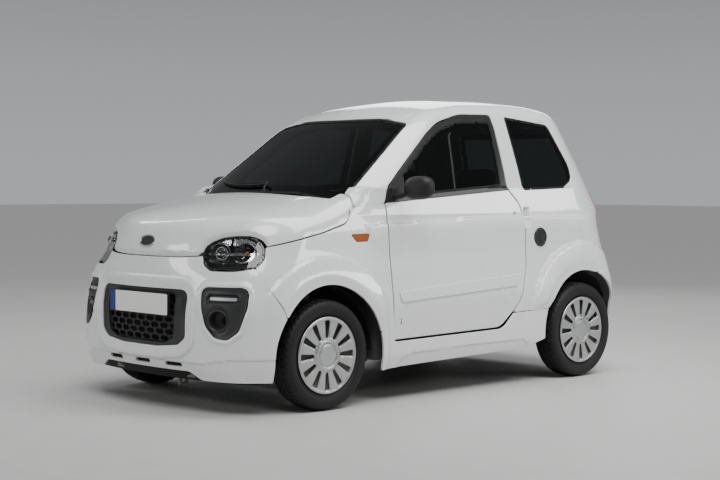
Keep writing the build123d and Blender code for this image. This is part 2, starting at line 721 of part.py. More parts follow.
# ---------------------------------------------------------------- glass
with BuildPart() as windscreen:
    add(glass_shell.part)
    add(screen_prism, mode=Mode.INTERSECT)
write(keep_largest(windscreen.part), "windscreen")
with BuildPart() as quarter_glass:
    add(glass_shell.part)
    add(side_prism(quarter_window, quarter_window_radii), mode=Mode.INTERSECT)
write(both_sides(keep_largest(quarter_glass.part)), "quarter_windows")
with BuildPart() as door_glass:
    add(glass_shell.part)
    add(side_prism(door_window, door_window_radii, -fit_gap), mode=Mode.INTERSECT)
door_glass_part = keep_largest(door_glass.part)
write(door_glass_part, "door_glass_left")
write(mirrored(door_glass_part), "door_glass_right")

# ---------------------------------------------------------------- tail
with BuildPart() as tailgate:
    add(shell.part)
    add(end_prism(tailgate_back, tailgate_radii, 0, 1020, 1700), mode=Mode.INTERSECT)
    add(end_prism(rear_glass_back, rear_glass_radii, 0, 1020, 1700), mode=Mode.SUBTRACT)
    for side in (-1, 1):
        centre_x = side * tailgate_hinge_x
        add(box_between((centre_x - 8, 1196, 1390), (centre_x + 8, 1215, tailgate_axis_z)))
        add(rod((centre_x - 8, tailgate_axis_y, tailgate_axis_z), (centre_x + 8, tailgate_axis_y, tailgate_axis_z), 9))
        with Locations(Plane(origin=(centre_x, tailgate_axis_y, tailgate_axis_z), z_dir=(1, 0, 0))):
            Cylinder(4 + run_gap, 40, mode=Mode.SUBTRACT)
tailgate_part = keep_largest(tailgate.part)
write(tailgate_part, "tailgate")
with BuildPart() as rear_glass:
    add(glass_shell.part)
    add(end_prism(rear_glass_back, rear_glass_radii, -fit_gap, 1020, 1700), mode=Mode.INTERSECT)
write(keep_largest(rear_glass.part), "tailgate_glass")
with BuildPart() as rear_bumper:
    add(shell.part)
    add(side_prism(rear_bumper_side, 0, -fit_gap / 2, both=True), mode=Mode.INTERSECT)
    add(arches[1], mode=Mode.SUBTRACT)
    add(tailgate_prism, mode=Mode.SUBTRACT)
write(keep_largest(rear_bumper.part), "rear_bumper")
with BuildPart() as tail_lamp:
    add(shell.part)
    add(lamp_prism, mode=Mode.INTERSECT)
    add(tailgate_prism, mode=Mode.SUBTRACT)
write(both_sides(keep_largest(tail_lamp.part)), "tail_lamps")
with BuildPart() as headlamp:
    add(shell.part)
    add(headlamp_prism(0), mode=Mode.INTERSECT)
write(both_sides(keep_largest(headlamp.part)), "headlamps")
with BuildPart() as fog_bezel:
    add(shell.part)
    add(fog_prism(0), mode=Mode.INTERSECT)
write(both_sides(keep_largest(fog_bezel.part)), "fog_bezels")

# ---------------------------------------------------------------- trim
plate_width = 470
plate_height = 100
plate_z = 506
plate_back_y = -1484
rear_plate_z = 730
grille_bars = [(-260 + 65 * column + 32 * (row % 2), 425 - 34 * row) for row in range(4) for column in range(9)]
with BuildPart() as grille:
    add(shell.part)
    add(end_prism(grille_front, grille_radii, 0, -1700, -1200), mode=Mode.INTERSECT)
    with BuildSketch(Plane.XZ.offset(1300)):
        with Locations(*grille_bars):
            RegularPolygon(24, 6)
    extrude(amount=300, mode=Mode.SUBTRACT)
    add(box_between((-plate_width / 2 - 1, -1600, plate_z - plate_height / 2 - 1),
                    (plate_width / 2 + 1, plate_back_y + fit_gap, plate_z + plate_height / 2 + 1)),
        mode=Mode.SUBTRACT)
write(keep_largest(grille.part), "grille")
write(box_between((-plate_width / 2, -1490, plate_z - plate_height / 2),
                  (plate_width / 2, plate_back_y, plate_z + plate_height / 2)), "front_plate")
with BuildPart() as rear_plate:
    add(box_between((-260, 1440, rear_plate_z - 55), (260, 1484, rear_plate_z + 55)))
    add(outer.part, mode=Mode.SUBTRACT)
write(keep_largest(rear_plate.part), "rear_plate")

with BuildPart() as badge:
    with BuildSketch(Plane.XZ.offset(1390)):
        with Locations((0, 805)):
            Ellipse(46, 27)
    extrude(amount=58)
    add(outer.part, mode=Mode.SUBTRACT)
write(keep_largest(badge.part), "bonnet_badge")


def screen_y(x, z):
    """Depth of the windscreen's outer face at a place across and up."""
    low, high = upper_levels[0], upper_levels[1]
    low_y = low[1] + (low[3] - low[1]) * (x / low[2]) ** 2
    high_y = high[1] + (high[3] - high[1]) * (x / high[2]) ** 2
    return low_y + (high_y - low_y) * (z - low[0]) / (high[0] - low[0])


blade_points = [(x, screen_y(x, 1066) - 9, 1066 + 12) for x in (wiper_spindle[0], -60, -240, -420)]
with BuildPart() as wiper:
    add(rod((*wiper_spindle, 975), (*wiper_spindle, 1062), 8))
    add(rod((*wiper_spindle, 1056), blade_points[0], 6))
    for index, (start, end) in enumerate(zip(blade_points, blade_points[1:])):
        add(rod(start, end, 6 - index * 0.5))
write(wiper.part, "wiper")

mirror_centre = (778, -345, 1060)
with BuildPart() as mirror_head:
    with BuildSketch(Plane.YZ.offset(700)):
        with Locations(mirror_centre[1:]):
            RectangleRounded(84, 96, 36)
    with BuildSketch(Plane.YZ.offset(790)):
        with Locations(mirror_centre[1:]):
            RectangleRounded(92, 106, 40)
    with BuildSketch(Plane.YZ.offset(860)):
        with Locations(mirror_centre[1:]):
            RectangleRounded(58, 80, 26)
    loft()
    add(box_between((600, -410, 1002), (720, -362, 1044)))
    add(outer.part, mode=Mode.SUBTRACT)
mirror_part = keep_largest(mirror_head.part)
write(mirror_part, "mirror_left")
write(mirrored(mirror_part), "mirror_right")

# ---------------------------------------------------------------- cabin
dash_rear_y = -320
column_plane = Plane(origin=(steering_wheel_x, steering_wheel_y, steering_wheel_z), x_dir=(1, 0, 0),
                     z_dir=(0, cos(radians(column_tilt)), sin(radians(column_tilt))))
with BuildPart() as dashboard:
    add(box_between((-589, firewall_y + firewall_thickness + fit_gap, 700), (589, dash_rear_y, 985)))
    add(cavity.part, mode=Mode.INTERSECT)
    with BuildSketch(column_plane.offset(-240)):
        Circle(30)
    extrude(amount=212)
    with BuildSketch(column_plane.offset(-60)):
        Circle(10)
    extrude(amount=54)
write(keep_largest(dashboard.part), "dashboard")

with BuildPart() as steering_wheel:
    with BuildSketch(column_plane.offset(-22)):
        Circle(52)
    extrude(amount=36)
    with BuildSketch(column_plane.offset(-14)):
        with PolarLocations(steering_wheel_radius / 2 + 10, 3, start_angle=90):
            Rectangle(steering_wheel_radius - 16, 30)
    extrude(amount=16)
    with Locations(column_plane):
        Torus(steering_wheel_radius, steering_rim_radius)
    with BuildSketch(column_plane.offset(-22)):
        Circle(10 + run_gap)
    extrude(amount=20, mode=Mode.SUBTRACT)
write(steering_wheel.part, "steering_wheel")

seat_x = 300
seat_width = 440
base_top_z = 352
cushion_top_z = 470
with BuildPart() as seat_base:
    add(box_between((seat_x - 170, -60, floor_z + floor_thickness + fit_gap), (seat_x + 170, 440, base_top_z)))
write(both_sides(seat_base.part), "seat_bases")
with BuildPart() as cushion:
    add(box_between((seat_x - seat_width / 2, -110, base_top_z + fit_gap), (seat_x + seat_width / 2, 338,
                                                                       cushion_top_z)))
    fillet(cushion.edges().group_by(Axis.Z)[-1], 30)
write(both_sides(cushion.part), "seat_cushions")
with BuildPart() as back:
    with BuildSketch(Plane.YZ.offset(seat_x - seat_width / 2)):
        add(outline([(340, base_top_z + fit_gap), (436, base_top_z + fit_gap), (600, 1010), (505, 1036)], 18))
    extrude(amount=seat_width)
    with BuildSketch(Plane.YZ.offset(seat_x - 130)):
        add(outline([(524, 1064), (602, 1044), (642, 1180), (566, 1202)], 22))
    extrude(amount=260)
    for post_x in (seat_x - 60, seat_x + 60):
        add(rod((post_x, 548, 1000), (post_x, 576, 1090), 8))
write(both_sides(back.part), "seat_backs")

# ---------------------------------------------------------------- running gear
stub_radius = 18
drum_radius = 105
axle_z = tyre_radius
beam_low_z = 128
engine_low_z = 230

with BuildPart() as axle_front:
    add(box_between((-kingpin_x, front_axle_y - 25, beam_low_z), (kingpin_x, front_axle_y + 25,
                                                                 rail_low_z - fit_gap)))
    for side in (-1, 1):
        x = side * kingpin_x
        add(rod((x, front_axle_y, beam_low_z), (x, front_axle_y, 190), 26))
        add(rod((x, front_axle_y, 150), (x, front_axle_y, 420), kingpin_radius))
        add(rod((x, front_axle_y, 404), (x, front_axle_y, axle_z + 328), 32))
write(axle_front.part, "front_axle")

with BuildPart() as knuckle:
    add(rod((kingpin_x, front_axle_y, 192), (kingpin_x, front_axle_y, 402), 27))
    add(rod((kingpin_x + 20, front_axle_y, axle_z), (wheel_centre_x + 30, front_axle_y, axle_z), stub_radius))
    add(rod((590, front_axle_y, axle_z), (617, front_axle_y, axle_z), drum_radius))
    add(rod((kingpin_x, front_axle_y, 100), (kingpin_x, front_axle_y, 500), kingpin_radius + run_gap),
        mode=Mode.SUBTRACT)
knuckle_part = knuckle.part
write(knuckle_part, "knuckle_left")
write(mirrored(knuckle_part), "knuckle_right")

with BuildPart() as axle_rear:
    add(box_between((-560, rear_axle_y - 25, axle_z - 25), (560, rear_axle_y + 25, axle_z + 25)))
    for side in (-1, 1):
        add(rod((side * 540, rear_axle_y, axle_z), (side * (wheel_centre_x + 30), rear_axle_y, axle_z), stub_radius))
        add(rod((side * 590, rear_axle_y, axle_z), (side * 617, rear_axle_y, axle_z), drum_radius))
        add(rod((side * rail_x, rear_axle_y, rail_top_z + fit_gap), (side * rail_x, rear_axle_y, axle_z), 24))
write(axle_rear.part, "rear_axle")

tyre_profile = [(-50, rim_radius + 0.3), (50, rim_radius + 0.3), (55, 192), (71, 214), (72.5, 228), (69, 248),
                (60, 259), (46, tyre_radius), (-46, tyre_radius), (-60, 259), (-69, 248), (-72.5, 228), (-71, 214),
                (-55, 192)]
rim_profile = [(-58, 163), (58, 163), (58, rim_radius), (-58, rim_radius)]
cover_slots = 12


def wheel_plane(axle_y):
    """Upright plane through a left wheel's axle, its X along the axle from the wheel's middle."""
    return Plane(origin=(wheel_centre_x, axle_y, axle_z), x_dir=(1, 0, 0), z_dir=(0, -1, 0))


def tyre(axle_y):
    with BuildPart() as ring:
        with BuildSketch(wheel_plane(axle_y)):
            with BuildLine():
                Polyline(*tyre_profile, close=True)
            make_face()
        revolve(axis=Axis((0, axle_y, axle_z), (1, 0, 0)))
    return ring.part


def wheel(axle_y):
    """Pressed rim, hub and slotted cover."""
    face = Plane(origin=(wheel_centre_x, axle_y, axle_z), x_dir=(0, 1, 0), z_dir=(1, 0, 0))
    with BuildPart() as disc:
        with BuildSketch(face.offset(-58)):
            Circle(rim_radius)
            Circle(rim_radius - 8, mode=Mode.SUBTRACT)
        extrude(amount=116)
        with BuildSketch(face.offset(36)):
            Circle(rim_radius - 4)
        extrude(amount=8)
        with BuildSketch(face.offset(-38)):
            Circle(46)
        extrude(amount=82)
        with BuildSketch(face.offset(58)):
            Circle(cover_radius)
            with PolarLocations(128, cover_slots):
                Trapezoid(22, 72, 84, rotation=90)
        extrude(amount=12)
        with BuildSketch(face.offset(44)):
            Circle(70)
        extrude(amount=30)
        with BuildSketch(face.offset(-60)):
            Circle(stub_radius + run_gap)
        extrude(amount=96, mode=Mode.SUBTRACT)
    return disc.part


corners = [("front", front_axle_y), ("rear", rear_axle_y)]
for end, axle_y in corners:
    tyre_part, wheel_part = tyre(axle_y), wheel(axle_y)
    write(tyre_part, "tyre_" + end + "_left")
    write(mirrored(tyre_part), "tyre_" + end + "_right")
    write(wheel_part, "wheel_" + end + "_left")
    write(mirrored(wheel_part), "wheel_" + end + "_right")

with BuildPart() as engine:
    add(box_between((-240, -1210, engine_low_z), (240, -770, 600)))
    for side in (-1, 1):
        add(box_between((side * 280 - 40, -1010, floor_z), (side * 280 + 40, -950, engine_low_z + 40)))
write(engine.part, "engine_block")

pipe_z = 135
with BuildPart() as exhaust:
    add(rod((-150, -800, engine_low_z - fit_gap), (-150, -800, pipe_z - 10), 19))
    add(rod((-150, -819, pipe_z), (-150, 1234, pipe_z), 19))
    add(rod((-150, 1215, pipe_z - 10), (-150, 1215, 235), 19))
    add(rod((-225, 1258, 240), (225, 1258, 240), 70))
    add(rod((120, 1260, 240), (120, 1425, 240), 17))
write(exhaust.part, "exhaust")
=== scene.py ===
from functools import partial
from math import atan2, cos, hypot, pi, radians, sin, sqrt, tan
import bmesh
import bpy
import numpy as np
from mathutils import Matrix, Vector


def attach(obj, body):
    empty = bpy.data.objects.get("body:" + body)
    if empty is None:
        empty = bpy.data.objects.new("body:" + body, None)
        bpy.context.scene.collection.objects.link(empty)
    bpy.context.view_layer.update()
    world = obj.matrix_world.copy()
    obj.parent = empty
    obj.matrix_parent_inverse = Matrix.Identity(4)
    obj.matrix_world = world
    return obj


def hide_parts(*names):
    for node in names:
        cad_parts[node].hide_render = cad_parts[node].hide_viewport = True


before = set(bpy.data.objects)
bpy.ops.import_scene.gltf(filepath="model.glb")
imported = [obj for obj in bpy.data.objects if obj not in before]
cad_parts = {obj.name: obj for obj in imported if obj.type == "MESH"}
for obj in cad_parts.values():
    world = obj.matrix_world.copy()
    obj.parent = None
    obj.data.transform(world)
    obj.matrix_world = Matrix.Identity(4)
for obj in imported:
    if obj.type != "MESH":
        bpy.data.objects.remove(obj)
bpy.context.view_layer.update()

print("frame loaded,", len(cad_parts), "nodes")

# Every size below is in millimetres in the car's own frame: nose to -Y, left side +X, ground at Z 0.
mm = 0.001

# Each row: level, nose, nose corner X and Y, start of the side, its X at front, middle and rear, its end,
# tail corner X and Y, tail. The upper levels have one X for the whole side.
lowerLevels = [
    (60, -1440, 500, -1395, -1150, 706, 694, 694, 1150, 540, 1385, 1430),
    (150, -1452, 500, -1405, -1150, 712, 700, 700, 1150, 540, 1395, 1440),
    (240, -1476, 500, -1428, -1160, 728, 724, 722, 1170, 540, 1430, 1474),
    (450, -1490, 500, -1430, -1160, 730, 722, 724, 1170, 540, 1440, 1490),
    (620, -1470, 490, -1396, -1110, 712, 703, 706, 1130, 520, 1425, 1482),
    (760, -1445, 460, -1340, -1020, 688, 687, 692, 1090, 480, 1400, 1466),
    (880, -1425, 440, -1290, -960, 672, 674, 680, 1060, 450, 1385, 1448),
    (1060, -1400, 420, -1250, -900, 640, 645, 652, 1020, 400, 1340, 1402),
    (1160, -1386, 410, -1230, -880, 622, 628, 636, 1000, 380, 1320, 1380),
]
upperLevels = [
    (930, -955, 606, -775, -640, 666, 1090, 380, 1445, 1466),
    (1060, -751, 582, -596, -455, 642, 1040, 345, 1382, 1396),
    (1600, 97, 452, 122, 220, 479, 870, 278, 1093, 1113),
]
# Each row: place along the car, then the crown's height in the middle, at the shoulder and at the edge.
bonnetStations = [
    (-1560, 690, 640, 500), (-1450, 812, 772, 640), (-1380, 898, 862, 712), (-1250, 957, 920, 766),
    (-1050, 1003, 970, 815), (-850, 1034, 1004, 868), (-740, 1044, 1024, 930), (-640, 1062, 1056, 1040),
    (-560, 1180, 1180, 1180), (1600, 1180, 1180, 1180),
]
roofStations = [
    (-1000, 1230, 1210, 1160), (-600, 1320, 1300, 1245), (-180, 1440, 1418, 1362), (60, 1512, 1486, 1418),
    (330, 1546, 1518, 1438), (680, 1556, 1526, 1436), (980, 1530, 1500, 1404), (1180, 1470, 1440, 1340),
    (1500, 1330, 1300, 1200),
]
formSizes = dict(bonnetShoulder=450, bonnetEdge=760, roofShoulder=400, roofEdge=715, noseRound=46,
                 roofRound=46, beltRound=7, lowerBase=(60, 1160), upperBase=(930, 1600), upperCentre=600)


def smoothRows(keys, rows, at):
    # values of a table's columns at new keys, smooth and with no overshoot
    keys, rows = np.asarray(keys, float), np.asarray(rows, float)
    slope = np.diff(rows, axis=0) / np.diff(keys)[:, None]
    tangent = np.zeros_like(rows)
    same = slope[:-1] * slope[1:] > 0
    tangent[1:-1] = np.where(same, 2 * slope[:-1] * slope[1:] / np.where(same, slope[:-1] + slope[1:], 1), 0)
    tangent[0], tangent[-1] = slope[0], slope[-1]
    at = np.clip(np.asarray(at, float), keys[0], keys[-1])
    i = np.clip(np.searchsorted(keys, at, side="right") - 1, 0, len(keys) - 2)
    h = (keys[i + 1] - keys[i])[:, None]
    t = (at - keys[i])[:, None] / h
    return ((1 + 2 * t) * (1 - t) ** 2 * rows[i] + t * (1 - t) ** 2 * h * tangent[i]
            + t * t * (3 - 2 * t) * rows[i + 1] + t * t * (t - 1) * h * tangent[i + 1])


def arcPoints(a, m, b, count=24):
    # points on the arc from a through m to b
    (ax, ay), (mx, my), (bx, by) = a, m, b
    d = 2 * (ax * (my - by) + mx * (by - ay) + bx * (ay - my))
    if abs(d) < 1e-6:
        return [(ax + (bx - ax) * i / count, ay + (by - ay) * i / count) for i in range(count + 1)]
    sa, sm, sb = ax * ax + ay * ay, mx * mx + my * my, bx * bx + by * by
    cx = (sa * (my - by) + sm * (by - ay) + sb * (ay - my)) / d
    cy = (sa * (bx - mx) + sm * (ax - bx) + sb * (mx - ax)) / d
    start, middle, end = (atan2(y - cy, x - cx) for x, y in (a, m, b))
    while middle - start > pi:
        middle -= 2 * pi
    while middle - start < -pi:
        middle += 2 * pi
    while end - middle > pi:
        end -= 2 * pi
    while end - middle < -pi:
        end += 2 * pi
    r = hypot(ax - cx, ay - cy)
    return [(cx + r * cos(start + (end - start) * i / count), cy + r * sin(start + (end - start) * i / count))
            for i in range(count + 1)]


def bulge(a, b, corner, share):
    # a point part of the way from the middle of a chord to a corner
    mx, my = (a[0] + b[0]) / 2, (a[1] + b[1]) / 2
    return mx + share * (corner[0] - mx), my + share * (corner[1] - my)


def halfPlan(nose, noseCorner, sideFront, sideMiddle, sideRear, tailCorner, tail, frontShare):
    # the left half of a plan outline, from the nose to the tail
    frontKnee = bulge(noseCorner, sideFront, (sideFront[0], noseCorner[1]), frontShare)
    rearKnee = bulge(sideRear, tailCorner, (sideRear[0], tailCorner[1]), 0.38)
    noseArc = arcPoints((-noseCorner[0], noseCorner[1]), (0, nose), noseCorner, 48)[24:]
    tailArc = arcPoints(tailCorner, (0, tail), (-tailCorner[0], tailCorner[1]), 48)[:25]
    return np.array(noseArc + arcPoints(noseCorner, frontKnee, sideFront)[1:]
                    + arcPoints(sideFront, sideMiddle, sideRear, 60)[1:]
                    + arcPoints(sideRear, rearKnee, tailCorner)[1:] + tailArc[1:])


def softened(table, sigmaRows, sigmaColumns):
    # a table blurred along both ways, its ends mirrored
    for axis, sigma in ((0, sigmaRows), (1, sigmaColumns)):
        if sigma <= 0:
            continue
        reach = int(3 * sigma)
        weights = np.exp(-0.5 * (np.arange(-reach, reach + 1) / sigma) ** 2)
        weights /= weights.sum()
        padded = np.pad(table, [(reach, reach) if a == axis else (0, 0) for a in (0, 1)],
                        mode="reflect", reflect_type="odd" if axis == 0 else "even")
        table = sum(w * np.take(padded, np.arange(table.shape[axis]) + i, axis=axis)
                    for i, w in enumerate(weights))
    return table


def lookup(table, u, v):
    # smooth value of a table between its rows and columns
    iu = np.clip(np.floor(u).astype(int), 1, table.shape[0] - 3)
    iv = np.clip(np.floor(v).astype(int), 1, table.shape[1] - 3)
    tu, tv = np.clip(u - iu, -1, 2), np.clip(v - iv, -1, 2)

    def weights(t):
        return (((-0.5 * t + 1) * t - 0.5) * t, (1.5 * t - 2.5) * t * t + 1,
                ((-1.5 * t + 2) * t + 0.5) * t, (0.5 * t - 0.5) * t * t)

    total = 0
    for a, wa in enumerate(weights(tu)):
        row = 0
        for b, wb in enumerate(weights(tv)):
            row = row + wb * table[iu + a - 1, iv + b - 1]
        total = total + wa * row
    return total


polarSteps, levelStep = 720, 10


def wallTable(levels, base, centre, lower):
    # radius of the plan outline by level and by angle from the nose, with its share of true distance
    heights = np.arange(base[0], base[1] + 1, levelStep)
    rows = smoothRows([r[0] for r in levels], [r[1:] for r in levels], heights)
    angles = np.linspace(0, pi, polarSteps + 1)
    table = []
    for row in rows:
        if lower:
            nose, nx, ny, start, frontX, middleX, rearX, end, tx, ty, tail = row
            half = halfPlan(nose, (nx, ny), (frontX, start), (middleX + 2, 60), (rearX, end), (tx, ty), tail,
                            0.38)
        else:
            nose, nx, ny, start, sideX, end, tx, ty, tail = row
            half = halfPlan(nose, (nx, ny), (sideX, start), (sideX + 1, (start + end) / 2), (sideX - 3, end),
                            (tx, ty), tail, 0.12)
        x, y = half[:, 0], half[:, 1] - centre
        table.append(np.interp(angles, np.arctan2(x, -y), np.hypot(x, y)))
    table = softened(np.array(table), 2, 3)
    turn = np.gradient(table, pi / polarSteps, axis=1) / table
    climb = np.gradient(table, levelStep, axis=0)
    return table, 1 / np.sqrt(1 + turn ** 2 + climb ** 2)


crownStep, crownWide, crownStart, crownEnd = 10, 900, -1560, 1600


def crownTable(stations, shoulder, edge):
    # height of an arched crown by station and by distance from the middle line
    places = np.arange(crownStart, crownEnd + 1, crownStep)
    rows = smoothRows([s[0] for s in stations], [s[1:] for s in stations], places)
    across = np.arange(0, crownWide + 1, crownStep)
    middle, high, low = rows[:, :1], rows[:, 1:2], rows[:, 2:3]
    inner = middle - (middle - high) * (across / shoulder) ** 2
    t = (across - shoulder) / (edge - shoulder)
    span = edge - shoulder
    startSlope, endSlope = -2 * (middle - high) / shoulder * span, (low - high) * 2.0
    outerPart = ((1 + 2 * t) * (1 - t) ** 2 * high + t * (1 - t) ** 2 * startSlope
                 + t * t * (3 - 2 * t) * low + t * t * (t - 1) * endSlope)
    beyond = low + endSlope * (t - 1)
    table = np.where(across <= shoulder, inner, np.where(across <= edge, outerPart, beyond))
    table = softened(table, 2, 2)
    along, side = np.gradient(table, crownStep)
    return table, 1 / np.sqrt(1 + along ** 2 + side ** 2)


lowerWall, lowerShare = wallTable(lowerLevels, formSizes["lowerBase"], 0, True)
upperWall, upperShare = wallTable(upperLevels, formSizes["upperBase"], formSizes["upperCentre"], False)
bonnetCrown, bonnetShare = crownTable(bonnetStations, formSizes["bonnetShoulder"], formSizes["bonnetEdge"])
roofCrown, roofShare = crownTable(roofStations, formSizes["roofShoulder"], formSizes["roofEdge"])


def wallDistance(x, y, z, table, share, base, centre):
    # distance outside the walls, less than 0 inside
    across = np.abs(x)
    u = (z - base[0]) / levelStep
    v = np.arctan2(across, -(y - centre)) / pi * polarSteps
    return (np.hypot(across, y - centre) - lookup(table, u, v)) * lookup(share, u, v)


def crownDistance(x, y, z, table, share):
    # distance above the crown, less than 0 under it
    u, v = (y - crownStart) / crownStep, np.abs(x) / crownStep
    return (z - lookup(table, u, v)) * lookup(share, u, v)


def roundedMost(a, b, r):
    # what lies inside both forms, with the edge between them rounded to r
    return np.minimum(np.maximum(a, b), -r) + np.hypot(np.maximum(a + r, 0), np.maximum(b + r, 0))


def roundedLeast(a, b, r):
    # what lies inside either form, with the corner between them filled to r
    return np.maximum(np.minimum(a, b), r) - np.hypot(np.maximum(r - a, 0), np.maximum(r - b, 0))


def lowerForm(x, y, z):
    wall = wallDistance(x, y, z, lowerWall, lowerShare, formSizes["lowerBase"], 0)
    crown = crownDistance(x, y, z, bonnetCrown, bonnetShare)
    return np.maximum(roundedMost(wall, crown, formSizes["noseRound"]), z - 1062)


def upperForm(x, y, z):
    wall = wallDistance(x, y, z, upperWall, upperShare, formSizes["upperBase"], formSizes["upperCentre"])
    return roundedMost(wall, crownDistance(x, y, z, roofCrown, roofShare), formSizes["roofRound"])


def bodyForm(x, y, z):
    return roundedLeast(lowerForm(x, y, z), upperForm(x, y, z), formSizes["beltRound"])


def roundedLoop(points, radii=0, perCorner=7):
    # a closed outline with its corners rounded, as a fine polyline
    count = len(points)
    radii = [radii] * count if isinstance(radii, (int, float)) else list(radii)
    loop = []
    for i in range(count):
        p, before, after = (np.array(points[j % count], float) for j in (i, i - 1, i + 1))
        toBefore, toAfter = before - p, after - p
        lengthBefore, lengthAfter = np.linalg.norm(toBefore), np.linalg.norm(toAfter)
        toBefore, toAfter = toBefore / lengthBefore, toAfter / lengthAfter
        half = np.arccos(np.clip(toBefore @ toAfter, -1, 1)) / 2
        reach = min(radii[i] / max(tan(half), 1e-3), 0.49 * min(lengthBefore, lengthAfter))
        if reach < 0.5:
            loop.append(p)
            continue
        a, b = p + toBefore * reach, p + toAfter * reach
        for k in range(perCorner + 1):
            t = k / perCorner
            loop.append((1 - t) ** 2 * a + 2 * t * (1 - t) * p + t * t * b)
    return np.array(loop)


def signedDistance(points, loop):
    # distance to a closed outline, less than 0 inside it
    a, b = loop, np.roll(loop, -1, axis=0)
    edge = b - a
    square = (edge ** 2).sum(-1) + 1e-9
    result = np.empty(len(points))
    for start in range(0, len(points), 6000):
        px, py = points[start:start + 6000, 0:1], points[start:start + 6000, 1:2]
        dx, dy = px - a[:, 0], py - a[:, 1]
        t = np.clip((dx * edge[:, 0] + dy * edge[:, 1]) / square, 0, 1)
        gap = np.sqrt(((dx - t * edge[:, 0]) ** 2 + (dy - t * edge[:, 1]) ** 2).min(1))
        crossing = ((a[:, 1] > py) != (b[:, 1] > py)) & (
            px < edge[:, 0] * dy / np.where(edge[:, 1] == 0, 1e-9, edge[:, 1]) + a[:, 0])
        result[start:start + 6000] = np.where(crossing.sum(1) % 2 == 1, -gap, gap)
    return result


def sideView(loop):
    return lambda p: signedDistance(p[:, 1:3], loop)


def endView(loop):
    return lambda p: signedDistance(np.stack([p[:, 0], p[:, 2]], 1), loop)


def topView(loop):
    return lambda p: signedDistance(p[:, 0:2], loop)


def turnedView(loop, centre, turn):
    # an outline on an upright plane turned outward at a front corner, on the left side
    c, s = cos(radians(turn)), sin(radians(turn))
    return lambda p: signedDistance(np.stack([(np.abs(p[:, 0]) - centre[0]) * c + (p[:, 1] + cornerY) * s,
                                              p[:, 2] - centre[1]], 1), loop)


doorFront, doorBottom, beltFront, sillTop = -465, 304, 985, 358
cornerY = 1300  # how far ahead the upright planes of the front corners turn
bonnetSide = roundedLoop([(-1560, 728), (-1430, 735), (-1392, 742), (-1376, 765), (-1210, 788), (-900, 848),
                          (-745, 890), (-686, 965), (-660, 1250), (-1560, 1250)],
                         [0, 60, 20, 20, 80, 300, 60, 25, 0, 0])
bumperSide = roundedLoop([(-1560, 20), (-1240, 20), (-1157, 425), (-1236, 570), (-1277, 680), (-1277, 778),
                          (-1376, 765), (-1392, 742), (-1430, 735), (-1560, 728)],
                         [0, 0, 40, 200, 60, 10, 10, 20, 60, 0])
wingSide = roundedLoop([(-1240, 20), (-1157, 425), (-1236, 570), (-1277, 680), (-1277, 778), (-1210, 788),
                        (-900, 848), (-745, 890), (-686, 965), (doorFront, beltFront), (doorFront, sillTop),
                        (-900, sillTop), (-900, 20)], [0, 40, 200, 60, 10, 20, 100, 60, 25, 0, 0, 0, 0])
sillSide = roundedLoop([(-900, 100), (-900, sillTop), (doorFront, sillTop), (380, 387.5), (640, 397),
                        (900, 397), (900, 300), (740, 246), (537, 194), (-300, 172), (-700, 160)],
                       [0, 0, 0, 0, 0, 0, 0, 60, 60, 60, 0])
frameSide = roundedLoop([(380, 387.5), (640, 397), (1037, 397), (1037, 590), (1700, 590),
                         (1700, 1800), (-1200, 1800), (-1200, 900), (-700, 900), (-686, 965),
                         (doorFront, beltFront), (200, 700)], 0)
rearBumperSide = roundedLoop([(1037, 20), (1037, 590), (1700, 590), (1700, 20)], 0)
doorSide = roundedLoop([(doorFront, doorBottom), (352, doorBottom + 14), (500, 450), (560, 640), (568, 890),
                        (540, 975), (464, 1050), (461, 1380), (446, 1451), (200, 1446), (20, 1398),
                        (-79, 1336), (-328, 1146), (-438, 1054), (doorFront, beltFront)],
                       [18, 110, 260, 100, 80, 80, 60, 60, 22, 300, 300, 300, 400, 60, 10])
doorWindow = roundedLoop([(-437, 1008), (423, 1069), (431, 1210), (430, 1422), (180, 1415), (20, 1368),
                          (-90, 1304), (-318, 1128), (-398, 1052)], [8, 10, 200, 14, 300, 300, 300, 300, 60])
quarterWindow = roundedLoop([(594, 1047), (945, 1059), (1036, 1104), (1040, 1180), (925, 1414), (566, 1449)],
                            [16, 60, 50, 120, 44, 12])
indicatorSide = roundedLoop([(-718, 834), (-594, 836), (-610, 798), (-686, 797)], 6)
screenFront = roundedLoop([(-590, 986), (-300, 1030), (300, 1030), (590, 986), (496, 1392), (300, 1424),
                           (-300, 1424), (-496, 1392)], [20, 400, 400, 20, 40, 300, 300, 40], 12)
grilleFront = roundedLoop([(-347, 581), (347, 581), (338, 356), (288, 320), (140, 305), (-140, 305),
                           (-288, 320), (-338, 356)], [54, 54, 40, 50, 200, 200, 50, 40])
tailgateBack = roundedLoop([(-470, 640), (470, 640), (540, 800), (520, 1050), (425, 1420), (-425, 1420),
                            (-520, 1050), (-540, 800)], [60, 60, 80, 60, 60, 60, 60, 80])
rearGlassBack = roundedLoop([(-470, 1030), (470, 1030), (380, 1385), (-380, 1385)], [50, 50, 45, 45])
tailLampBack = roundedLoop([(520, 802), (594, 802), (590, 1044), (500, 1044)], [10, 26, 26, 10])
roofPlan = roundedLoop([(-425, -120), (0, -168), (425, -120), (418, 600), (400, 1108), (-400, 1108),
                        (-418, 600)], [0, 400, 0, 0, 0, 0, 0])
headlampLoop = roundedLoop([(-156, -16), (-152, 24), (-120, 48), (-70, 68), (-3, 77), (70, 78), (120, 62),
                            (151, 20), (155, -32), (126, -70), (32, -85), (-100, -86), (-145, -60)],
                           [30, 30, 60, 120, 150, 100, 60, 50, 50, 50, 150, 60, 40])
fogLoop = roundedLoop([(-126, 125), (124, 127), (121, 30), (84, -74), (30, -114), (-42, -106), (-92, -56),
                       (-118, 30)], [42, 50, 80, 60, 50, 60, 60, 80])
bonnetRearArc = np.array(arcPoints((-680, -697), (0, -850), (680, -697), 60))
